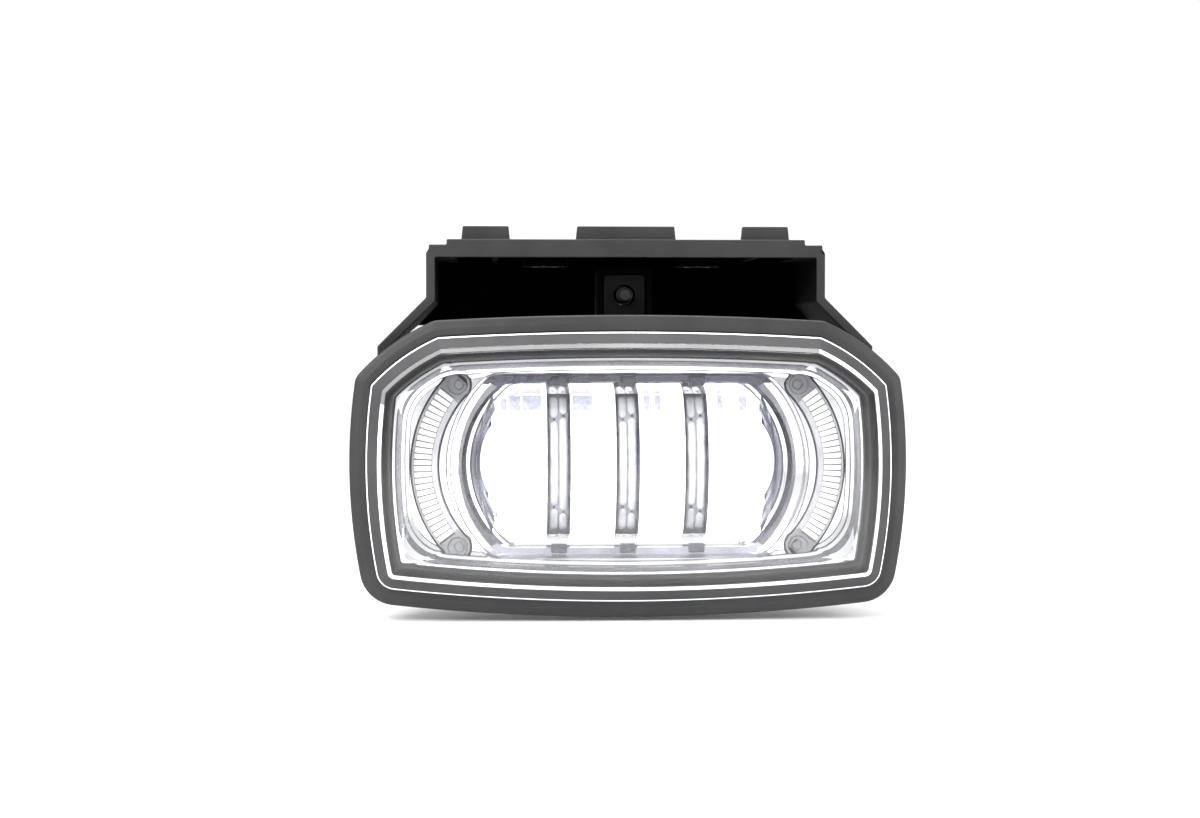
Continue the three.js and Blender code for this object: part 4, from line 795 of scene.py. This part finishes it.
def barrel_y(z, sunk=0):
    """Depth of the optic's barrel face at a height, or of a face sunk below it."""
    radius = OPTIC["barrel"] - sunk
    return OPTIC["front"] + OPTIC["barrel"] - math.sqrt(radius ** 2 - z ** 2)


def barrel_block(x, z, sunk=0, back=OPTIC["back"], steps=28):
    """Block between two x values and two heights, whose front follows the barrel."""
    low, high = z
    heights = [low + (high - low) * i / steps for i in range(steps + 1)]
    return prism("x", [(back, low), *((barrel_y(h, sunk), h) for h in heights), (back, high)], x)


def optic():
    """Clear block: four cells that glow white as painted light, three fluted bars between them, and a bulge
    at each end.
    """
    half, height = BAR_WIDTH / 2, (-OPTIC["height"], OPTIC["height"])
    edges = [-OPTIC["width"], *[bar + s * half for bar in BARS for s in (-1, 1)], OPTIC["width"]]
    cells = [soften(barrel_block(edges[i:i + 2], height), 0.35, 3, 40) for i in range(0, len(edges), 2)]
    details = {
        "bars": (bar_floors(half), [BAR_FLOOR, BAR_DARK]), "flutes": (flutes(), [BAR]),
        "dots": (flute_dots(), [BAR_DARK]), "reflections": (reflections(), [MIRROR_PATCH]),
    }
    show(gather(*cells), "main_optic_cells", [CELL_PAINTED_GLOW], ["main_optic"])
    for name, (piece, finishes) in details.items():
        show(piece, f"main_optic_{name}", finishes)
    for name, side in SIDES:
        optic_end(name, side)


def bar_floors(half):
    """The sunk floor of each bar; its sloping sides are painted near-black as shade."""
    floors, steps, back = [], 28, OPTIC["back"]
    edge, floor = half - 0.03, half - 0.9
    for x in BARS:
        rows = []
        for i in range(steps + 1):
            z = OPTIC["height"] * (2 * i / steps - 1)
            top, low = barrel_y(z, 0.4), barrel_y(z, 2.6)
            section = [(-edge, back), (-edge, top), (-floor, low), (floor, low), (edge, top), (edge, back)]
            rows.append([(x + dx, y, z) for dx, y in section])
        floors.append(loft(rows))
    return paint(gather(*floors), lambda _middle, normal: 1 if abs(normal.x) > 0.35 else 0)


def capsule_on_barrel(x, z, radius, sunk):
    """Upright rib with round ends that lies on the barrel between two heights."""
    low, high = z
    steps, cap, sides = 20, 6, 20
    turns = [math.pi / 2 * i / cap for i in range(1, cap + 1)]
    foot = [(low + radius * (1 - math.cos(t)), math.sin(t)) for t in turns]
    middle = [(low + radius + (high - low - 2 * radius) * i / steps, 1) for i in range(1, steps)]
    top = [(high + low - place, share) for place, share in reversed(foot)]
    around = [math.pi * 2 * k / sides for k in range(sides)]
    rows = []
    for place, share in foot + middle + top:
        wide, y = radius * share, barrel_y(place, sunk)
        rows.append([(x + wide * math.cos(t), y - wide * 0.8 * math.sin(t), place) for t in around])
    return loft(rows)


# Each bar's two flutes: offset from the bar, and the heights where a dot parts its ribs
FLUTE_BREAKS = {-1.75: (16.4, -15.6), 1.75: (17.7, -17.4)}
FLUTE_END, FLUTE_SUNK = 24.6, 2.7


def flutes():
    ribs = []
    for bar in BARS:
        for offset, (upper, lower) in FLUTE_BREAKS.items():
            for z in ((upper + 0.5, FLUTE_END), (lower + 0.5, upper - 0.5), (-FLUTE_END, lower - 0.5)):
                ribs.append(capsule_on_barrel(bar + offset, z, 1.55, FLUTE_SUNK))
    return gather(*ribs)


def flute_dots():
    dots = []
    for bar in BARS:
        for offset, breaks in FLUTE_BREAKS.items():
            for z in (*breaks, breaks[1] - 4.2):
                y = barrel_y(z, FLUTE_SUNK)
                profile = [(y - 0.9, 0.2), (y - 0.8, 0.42), (y - 0.3, 0.45), (y, 0.3)]
                dots.append(turned("y", (bar + offset, z), profile, 20))
    return gather(*dots)


PATCHES = [(-46.2, -43.8), (-43.2, -38.8), (-38.2, -31.2), (-20, -12.6), (6, 8.4), (10, 12.4), (33, 35),
           (41, 44)]


def reflections():
    """Lavender patches near the top of the cells, where the board shows in the clear block."""
    return soften(gather(*[barrel_block(x, (19.6, 25.2), -0.06, 20) for x in PATCHES]), 0.2, 2)


FAN_STEPS = 40


def optic_end(name, side):
    """Bulge beside the end cell, glowing white as painted light, the facets between it and the bowl, and the
    ears behind them.
    """
    rise, half, middle = 6.1, 15.6, 1.2
    centre, radius = edge_circle((OPTIC_SIDE, -half), (OPTIC_SIDE, half), rise)
    lean = math.asin(half / radius)
    bulge_arc = [(x, z + middle) for x, z in arc(centre, radius, -lean, lean, FAN_STEPS)]
    levels = [(1, OPTIC["back"]), (1, 13.2), (0.97, 12.2), (0.88, 11.4), (0.7, 10.8)]
    rows = []
    for share, y in levels:
        height = 0.4 + 0.6 * share
        rows.append([(side * (OPTIC_SIDE + (x - OPTIC_SIDE) * share), y, middle + (z - middle) * height)
                     for x, z in bulge_arc])
    ears = gather(*[optic_ear(at) for at in BOARD_SCREWS if at[0] * side > 0])
    facets = end_facets(side, bulge_arc)
    for part, piece, finishes in (("bulge", loft(rows), [CELL_PAINTED_GLOW]), ("ears", ears, [BAR]),
                                  ("facets", facets, [CHROME, CHROME_PAINTED_HALF_SHADE])):
        show(piece, f"main_optic_{part}_{name}", finishes)


def optic_ear(at):
    """Ear at the optic's back, with the hole for a board screw."""
    y = (OPTIC["back"] - 1.8, OPTIC["back"])
    arm = box(sorted((math.copysign(OPTIC_SIDE, at[0]), at[0])), y, (at[1] - 2.5, at[1] + 2.5))
    return cut(join(rod("y", at, 3.6, y), arm), rod("y", at, 1.8, (y[0] - PAST, y[1] + PAST)))


def end_facets(side, bulge_arc):
    """Smooth fan from the bulge out to the bowl's collar, with two fine ridges along it; the ridges' steep
    faces are painted mid-grey chrome as shade.
    """
    reach, bow, edge = OPTIC["height"], 5.6, OPTIC_SIDE + 0.6
    centre, radius = edge_circle((edge, -reach), (edge, reach), bow)
    lean = math.asin(reach / radius)
    outer = arc(centre, radius + 1.2, -lean, lean, FAN_STEPS)
    profile = [(0, 12.4), (0.3, 13.3), (0.36, 12.7), (0.64, 13.9), (0.7, 13.3), (1, 14.6), (1, 22), (0, 22)]
    rows = [[(side * (a[0] + (b[0] - a[0]) * share), y, a[1] + (b[1] - a[1]) * share) for share, y in profile]
            for a, b in zip(bulge_arc, outer)]
    return paint(loft(rows), lambda _middle, normal: 1 if abs(normal.y) < 0.8 else 0)


# Heat sink, connector, vent


def heat_sink():
    """Finned casting: draughted fins with round tips on a rounded plate, and its block."""
    lo, hi = SINK
    count, pitch, root, tip = 13, 9, 1.25, 0.75
    plate = soften(prism("y", racetrack(hi.x, hi.z, 0.5, 5, 6), (PLATE_FRONT, PLATE_BACK)), 0.6, 3)
    block = box((-57, 57), (lo.y, PLATE_FRONT + PAST), (-23.9, 23.9))
    fins = []
    for i in range(count):
        x = (i - (count - 1) / 2) * pitch
        outline = [(x - root, PLATE_BACK - PAST), (x + root, PLATE_BACK - PAST), (x + root, PLATE_BACK + 0.2),
                   *arc((x, hi.y - tip), tip, 0, math.pi, 8), (x - root, PLATE_BACK + 0.2)]
        fins.append(soften(prism("z", outline, (-22.9, 22.9)), 0.4, 2))
    holes = [rod("y", at, 2.2, (PLATE_FRONT - PAST, PLATE_BACK + PAST)) for at in SINK_SCREWS]
    seats = [turned("y", at, [(PLATE_BACK - 0.4, 4.2), (PLATE_BACK + PAST, 4.4)]) for at in SINK_SCREWS]
    whole = cut(join(plate, block, *fins), *holes, *seats)
    show(whole, "heat_sink_casting", [ALUMINIUM], ["heat_sink"], smooth=35)


def connector():
    """Plug shroud with a rounded mouth, keying ribs and a latch rail."""
    lo, hi = CONNECTOR
    x, half, floor, wall = middle_of(CONNECTOR)[0], (8, 12.5), lo.y + 2.2, 2

    def around(grow, radius):
        return rounded_box(half[0] + grow, half[1] + grow, radius, (x, 0))

    body = join(prism("y", around(1, 1.2), (lo.y, floor)), prism("y", around(0, 1.8), (lo.y + PAST, hi.y)))
    lead_in = skin([(around(-wall, 1), hi.y - 1.2), (around(-1.2, 1), hi.y + 0.2)])
    hollow = cut(body, prism("y", around(-wall, 1), (floor, hi.y + PAST)), lead_in)
    section = [(-3, 11.5), (3, 11.5), (3, 13.4), (2, 14.1), (-2, 14.1), (-3, 13.4)]
    rail = prism("y", [(x + dx, z) for dx, z in section], (floor, hi.y - 3))
    keys = [box(span(x - 6.4, x - 5.6), (floor - 0.5, hi.y - 2), (z - 0.6, z + 0.6)) for z in (-6, 6)]
    grips = [box((x + s * 7.6 - 0.9, x + s * 7.6 + 0.9), (floor + 4, floor + 5.2), (-9, 9)) for s in (-1, 1)]
    slots = [box((px - 0.9, px + 0.9), (lo.y - PAST, floor + PAST), (pz - 0.9, pz + 0.9))
             for px in (x - 2.5, x + 2.5) for pz in (-4.5, 4.5)]
    whole = cut(join(hollow, rail, *keys, *grips), *slots)
    show(soften(whole, 0.2), "connector_shroud", [BLACK], ["connector_socket"])


def rounded_box(width, height, radius, at):
    """Outline of a rectangle with rounded corners, about a point; sizes are halves."""
    flat = 0.02
    outline = bowed_outline([(x, z, radius, flat, 2) for x, z in
                             ((width, -height), (width, height), (-width, height), (-width, -height))],
                            least=min(radius, SHARPEST), corner_steps=6)
    return [(at[0] + x, at[1] + z) for x, z in outline]


def vent():
    """Mushroom vent cap with a ring of notches."""
    (lo, hi), at = VENT, middle_of(VENT)
    head = hi.y - 4
    cap = turned("y", at, [(lo.y, 3.2), (head - 0.2, 3.2), (head, 5.8), (head + 0.6, 6.4), (hi.y - 1.2, 6.4),
                           (hi.y - 0.4, 5.9), (hi.y, 4.8), (hi.y, 3)])
    notches = [rod("y", spot, 1.1, (head - PAST, hi.y - 1.6), 20) for spot in circle(6.6, 8, at)]
    dish = turned("y", at, [(hi.y - 0.6, 2.2), (hi.y + PAST, 3.8)])
    show(soften(cut(cap, *notches, dish), 0.15), "vent_cap_moulding", [BLACK],
         ["vent_cap"])


# Screws, pivots and aiming screw


def pan_screw(at, seat, head, depth, shank, length):
    """Round-headed screw that points forwards along y, with a star recess in its head."""
    top = seat + depth
    profile = [(top, head * 0.45), (top - depth * 0.12, head * 0.75), (top - depth * 0.4, head * 0.95),
               (top - depth * 0.7, head), (seat, head), (seat, shank), (seat - length * 0.9, shank),
               (seat - length, shank * 0.5)]
    star = star_outline(head * 0.5, head * 0.34, at)
    return cut(turned("y", at, profile, 40), prism("y", star, (top - depth * 0.7, top + PAST)))


def star_outline(outer, inner, at, points=6):
    turns = [(math.pi * i / points, outer if i % 2 == 0 else inner) for i in range(2 * points)]
    return [(at[0] + r * math.cos(t), at[1] + r * math.sin(t)) for t, r in turns]


def fasteners():
    for i, at in enumerate(SINK_SCREWS, 1):
        screw = pan_screw(at, PLATE_BACK + FIT, 3.4, 2.2, 1.6, 12)
        show(screw, f"heat_sink_screw_head_{i}", [STEEL], [f"heat_sink_screw_{i}"])
    for name, side in SIDES:
        pivot(name, side)


def pivot(name, side):
    """Shoulder screw with a socket head, and its flanged bush."""
    head, seat = 92.8, BOSS_END + FIT
    profile = [(BOSS_END - 5.3, 2), (BOSS_END - 5, 2.4), (seat, 2.4), (seat, 3), (head, 3), (head, 5.8),
               (head + 0.3, 6), (head + 2.9, 6), (head + 3.4, 5.5)]
    screw = turned("x", PIVOT_AT, [(side * t, r) for t, r in profile])
    socket = rod("x", PIVOT_AT, 2.3, span(head + 1.4, head + 3.4 + PAST, side), 6)
    show(cut(screw, socket), f"pivot_screw_{name}_turned", [STEEL], [f"pivot_screw_{name}"])
    inner, outer = sorted(abs(corner.x) for corner in local_box(f"pivot_bush_{name}"))
    bore, body, flange, step = 3.3, 5, 6.8, outer - 1.2
    profile = [(inner, bore), (inner, body - 0.2), (inner + 0.2, body), (step, body), (step, flange - 0.2),
               (step + 0.2, flange), (outer - 0.25, flange), (outer, flange - 0.25), (outer, bore)]
    bush = turned("x", PIVOT_AT, [(side * t, r) for t, r in profile], closed=True)
    show(bush, f"pivot_bush_{name}_turned", [NYLON], [f"pivot_bush_{name}"], "bracket")


def aiming_screw():
    """Screw with a real thread and a collar, and the washer it turns against."""
    at, (lo, hi) = ADJUSTER_AT, local_box("adjuster_screw")
    core, shank, collar = 2.55, 3, 6
    end, front, back = LUG["back"] + 8, 68.6, 70.7
    profile = [(lo.y, 1.9), (lo.y + 0.9, core), (end, core), (end + 0.4, shank), (front, shank),
               (front + 0.3, collar - 0.3), (front + 0.6, collar), (back - 0.3, collar), (back, collar - 0.3),
               (back, shank), (hi.y, shank)]
    screw = gather(turned("y", at, profile, 48), thread(at, lo.y + 1.2, end, 2.5, shank, 1.25))
    show(screw, "adjuster_screw_threaded", [STEEL_BLACK], ["adjuster_screw"], "adjuster")
    front, back = (corner.y for corner in local_box("adjuster_washer"))
    profile = [(front, 3.3), (front, 6.8), (front + 0.15, 7), (back - 0.15, 7), (back, 6.8), (back, 3.3)]
    show(turned("y", at, profile, closed=True), "adjuster_washer_turned", [STEEL],
         ["adjuster_washer"], "bracket")


def aiming_knob():
    """Fluted knob with a hexagon socket."""
    at, (lo, hi) = ADJUSTER_AT, local_box("adjuster_knob")
    radius = (hi.z - lo.z) / 2
    body = turned("y", at, [(lo.y, radius - 0.8), (lo.y + 0.8, radius), (hi.y - 1.2, radius),
                            (hi.y - 0.4, radius - 0.4), (hi.y, radius - 1.3)], 72)
    grooves = [rod("y", spot, 1.6, (lo.y - PAST, hi.y + PAST), 24) for spot in circle(radius + 0.8, 12, at)]
    dish = turned("y", at, [(hi.y - 0.8, radius - 3.2), (hi.y + 0.2, radius - 2.4)])
    hexagon = rod("y", at, 2.5, (hi.y - 5, hi.y + PAST), 6)
    bore = rod("y", at, 3.3, (lo.y - PAST, hi.y - 5))
    knob = soften(cut(body, *grooves, dish, hexagon, bore), 0.3, 2, 40)
    show(knob, "adjuster_knob_fluted", [BLACK], ["adjuster_knob"], "adjuster")


def thread(at, start, end, root, crest, pitch):
    """Helical ridge from `start` to `end` along y, fading out over its first and last turn."""
    per_turn = 20
    count = int((end - start) / pitch * per_turn)
    base, foot, tip = root - 0.3, 0.42, 0.1
    section = [(base, -foot), (root, -foot), (crest, -tip), (crest, tip), (root, foot), (base, foot)]
    rows = []
    for i in range(count + 1):
        turn = 2 * math.pi * i / per_turn
        place = start + (end - start) * i / count
        fade = min(1, i / per_turn, (count - i) / per_turn)
        rows.append([(at[0] + (root + (r - root) * fade) * math.cos(turn), place + t * pitch,
                      at[1] + (root + (r - root) * fade) * math.sin(turn)) for r, t in section])
    return loft(rows)


def aiming_nut():
    """Square flanged nut with a snap barb above and below."""
    at, (lo, hi), half, catch = ADJUSTER_AT, NUT, NUT_HALF, NUT[1].y - 1.2
    flange = (hi.x - lo.x) / 2
    body = join(prism("y", rounded_box(flange, flange, 1.2, at), (lo.y, lo.y + 1.8)),
                prism("y", rounded_box(half, half, 0.6, at), (lo.y + 1, hi.y)))
    section = [(catch, half), (catch, half + 0.8), (hi.y, half), (hi.y, half - 1), (catch, half - 1)]
    barbs = [prism("x", [(y, at[1] + up * z) for y, z in section], (-4, 4)) for up in (-1, 1)]
    bore = rod("y", at, 3.9, (lo.y - PAST, hi.y + PAST))
    show(soften(cut(join(body, *barbs), bore), 0.2), "adjuster_nut_moulding", [NYLON_BLACK],
         ["adjuster_nut"])


# Hood bracket


def arch(shrink, top, foot):
    """Front view of the hood: deck, notched corners, walls, flares and arms."""
    outer, wall = ARM_OUTER - shrink, DECK_WIDTH - shrink
    notch = DECK_WIDTH - NOTCH["width"] - shrink
    radius = max(NOTCH["round"] - shrink, 0.5)
    corner = top - NOTCH["drop"]
    bend = shrink * math.tan(math.pi / 8)
    half = [(outer, foot), (outer, FLARE_START - FLARE - bend), (wall, FLARE_START - bend)]
    half += arc((wall - radius, corner - radius), radius, 0, math.pi / 2, 8) + [(notch, corner), (notch, top)]
    return half + [(-x, z) for x, z in reversed(half)]


def bracket():
    """Moulded hood with its lip, tabs, ribs, bosses and arms, and the two bolt sleeves in it."""
    front, back = BRACKET[0].y, BRACKET[1].y
    wall, foot, under = back - BACK_WALL, -ARM_RADIUS - PAST, DECK - 2
    shell = cut(prism("y", arch(0, DECK, foot), (front, back)),
                prism("y", arch(SIDE_WALL, DECK - DECK_WALL, foot - PAST), (front - PAST, wall)),
                box((-ARM_OUTER, ARM_OUTER), (wall - PAST, back + PAST), (foot - PAST, BACK_FOOT)))
    lip = box((1 - DECK_WIDTH, DECK_WIDTH - 1), (front, front + 3), (DECK - 6.6, under))
    tabs = [prism("y", [(x - half, DECK - PAST), (x + half, DECK - PAST), (x + half - 0.6, DECK + 5),
                        (x - half + 0.6, DECK + 5)], (front + 4, front + 7))
            for x, half in ((-51.5, 9), (0, 18.5), (51.5, 9))]
    bolts = [(side * 29, (front + back) / 2) for side in (-1, 1)]
    bosses = [rod("z", at, 8.7, (DECK - 9, under)) for at in bolts]
    ribs = [box((x - 1.1, x + 1.1), (front + PAST, back - PAST), (DECK - 6.6, under)) for x in (-48, 48)]
    aiming = rod("y", ADJUSTER_AT, 8, (wall - 4, back - PAST))
    side_view = [(front, DECK + 6), (front, 46), *arc(PIVOT_AT, ARM_RADIUS, math.pi, 2 * math.pi, 40),
                 (PIVOT_AT[0] + ARM_RADIUS, 44), (back, 52), (back, DECK + 6)]
    whole = combine("INTERSECT", join(shell, lip, *tabs, *bosses, *ribs, aiming),
                    [prism("x", side_view, (-ARM_OUTER - PAST, ARM_OUTER + PAST))])
    holes = [rod("z", at, 5.8, (DECK - 10, DECK + PAST)) for at in bolts]
    pivots = [rod("x", PIVOT_AT, 5.3, span(BOSS_END - 0.5, ARM_OUTER + PAST, side)) for side in (-1, 1)]
    screw = rod("y", ADJUSTER_AT, 3.6, (wall - 5, back + PAST))
    whole = soften(cut(whole, *holes, *pivots, screw), 0.5, 3, 35)

    def finish(middle, normal):
        # Painted highlight: the hood's front faces and the tabs above the deck get the lighter black.
        if normal.y < -0.5 and middle.y < front + 8 or middle.z > DECK + 0.2:
            return 1
        # Painted shade: inward faces and faces under the deck get near-black.
        inward = normal.x * middle.x < -20 or normal.z < -0.5 or normal.y < -0.5
        under_deck = normal.z < 0.5 and middle.z < DECK - 3.2 and abs(middle.x) < DECK_WIDTH - SIDE_WALL - 0.2
        return 2 if (inward or under_deck) and middle.y < wall + 0.5 else 0

    show(paint(whole, finish), "mounting_bracket_moulding",
         [BLACK, BLACK_PAINTED_HIGHLIGHT, BLACK_PAINTED_SHADE], ["mounting_bracket"], "bracket", smooth=30)
    for (name, _side), at in zip(SIDES, bolts):
        show(bolt_sleeve(at), f"mount_sleeve_{name}_turned", [STEEL, STEEL_BLACK],
             [f"mount_sleeve_{name}"], "bracket")


def bolt_sleeve(at):
    """Compression sleeve with chamfered ends, painted darker below the deck as shade."""
    bore, outer, edge, foot = 3.5, 5.5, 0.3, DECK - 9
    profile = [(foot, bore), (foot, outer - edge), (foot + edge, outer), (DECK - edge, outer),
               (DECK, outer - edge), (DECK, bore + edge), (DECK - edge, bore)]
    sleeve = turned("z", at, profile, closed=True)
    # Below the deck the sleeve gets the dark steel as painted shade.
    return paint(sleeve, lambda middle, _normal: 1 if middle.z < DECK - 3 else 0)


# CAD nodes that stay

KEPT = {
    "lens_seal": SEAL, "main_led_board": WHITE_BOARD, "thermal_pad": TRAY, "heat_sink_gasket": RUBBER,
    "driver_board": GREEN_BOARD, "connector_gasket": RUBBER, "vent_membrane": MEMBRANE, "main_led": EMITTER,
    "terminal": BRASS, "board_screw": STEEL, "driver_screw": STEEL, "drl_screw": STEEL,
    "drl_board": GREEN_BOARD, "main_lead": SHEATH, "drl_lead": SHEATH,
}


def dress_kept_nodes():
    """Gives each CAD node that stays a finish and softened edges."""
    for name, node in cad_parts.items():
        if node.hide_render:
            continue
        stem = name if name in KEPT else next(stem for stem in KEPT if name.startswith(stem))
        node.data.materials.clear()
        node.data.materials.append(KEPT[stem])
        node.modifiers.new("weld", "WELD").merge_threshold = 0.00001
        edges = node.modifiers.new("edges", "BEVEL")
        edges.width, edges.segments = 0.0001, 2
        edges.limit_method, edges.angle_limit = "ANGLE", math.radians(40)


# Stage


def stage():
    """Pale floor, white surroundings, a soft wash from the sky and three square lamps."""
    scene = bpy.context.scene
    scene.view_settings.view_transform = "Standard"
    floor_z, half = HOUSING[0].z - 0.0015, 4
    mesh = bpy.data.meshes.new("floor")
    mesh.from_pydata([(x, y, floor_z) for x, y in corners_of(half, half)], [], [(0, 1, 2, 3)])
    mesh.materials.append(surface("pale_floor", 0.93, 0.96, (0.6, 0.8), patch=2, specular=0.2))
    floor = bpy.data.objects.new("floor", mesh)
    scene.collection.objects.link(floor)

    scene.world = bpy.data.worlds.new("studio")
    scene.world.use_nodes = True
    tree = scene.world.node_tree
    sky, output = tree.nodes["Background"], tree.nodes["World Output"]
    place, parts, rays, mix = (add(tree, kind) for kind in
                               ("TexCoord", "SeparateXYZ", "LightPath", "MixShader"))
    tone = ramp(tree, grey(0.62, 0.03), grey(1), (0, 0.35))
    plain = add(tree, "Background", Color=(1, 1, 1, 1), Strength=1.1)
    wire(tree, (place, "Generated", parts, 0), (parts, "Z", tone, "Fac"), (tone, "Color", sky, "Color"),
         (rays, "Is Camera Ray", mix, 0), (sky, 0, mix, 1), (plain, 0, mix, 2), (mix, 0, output, "Surface"))

    sun = bpy.data.lights.new("sky_wash", "SUN")
    sun.energy, sun.angle = 0.45, math.radians(120)
    scene.collection.objects.link(bpy.data.objects.new("sky_wash", sun))

    lamps = (("key", (-0.5, -0.7, 0.55), 0.5, 9), ("fill", (0.7, -0.6, 0.25), 0.5, 4),
             ("top", (0, 0.1, 0.8), 0.6, 5))
    for name, offset, size, power in lamps:
        data = bpy.data.lights.new(name, "AREA")
        data.shape, data.size, data.energy = "SQUARE", size, power
        lamp = bpy.data.objects.new(name, data)
        scene.collection.objects.link(lamp)
        lamp.location = Vector((0, 0, ORIGIN.z)) + Vector(offset)
        lamp.rotation_euler = Vector(offset).to_track_quat("Z", "Y").to_euler()


def camera():
    """Near-frontal view, a little from the left and from above."""
    azimuth, elevation, distance = math.radians(-3), math.radians(1.7), 0.75
    target = ORIGIN + Vector((-0.0107, 0, 0.0206))
    level = math.cos(elevation)
    back = Vector((math.sin(azimuth) * level, -math.cos(azimuth) * level, math.sin(elevation)))
    data = bpy.data.cameras.new("camera")
    data.lens, data.sensor_width, data.clip_start, data.clip_end = 62.9, 36, 0.01, 20
    seat = bpy.data.objects.new("camera", data)
    bpy.context.scene.collection.objects.link(seat)
    seat.location = target + back * distance
    seat.rotation_euler = back.to_track_quat("Z", "Y").to_euler()
    bpy.context.scene.camera = seat


# Everything

housing()
lens()
lens_beads()
bezel()
for name, side in SIDES:
    running_light(name, side)
optic()
heat_sink()
connector()
vent()
fasteners()
aiming_screw()
aiming_knob()
aiming_nut()
bracket()
dress_kept_nodes()
stage()
camera()
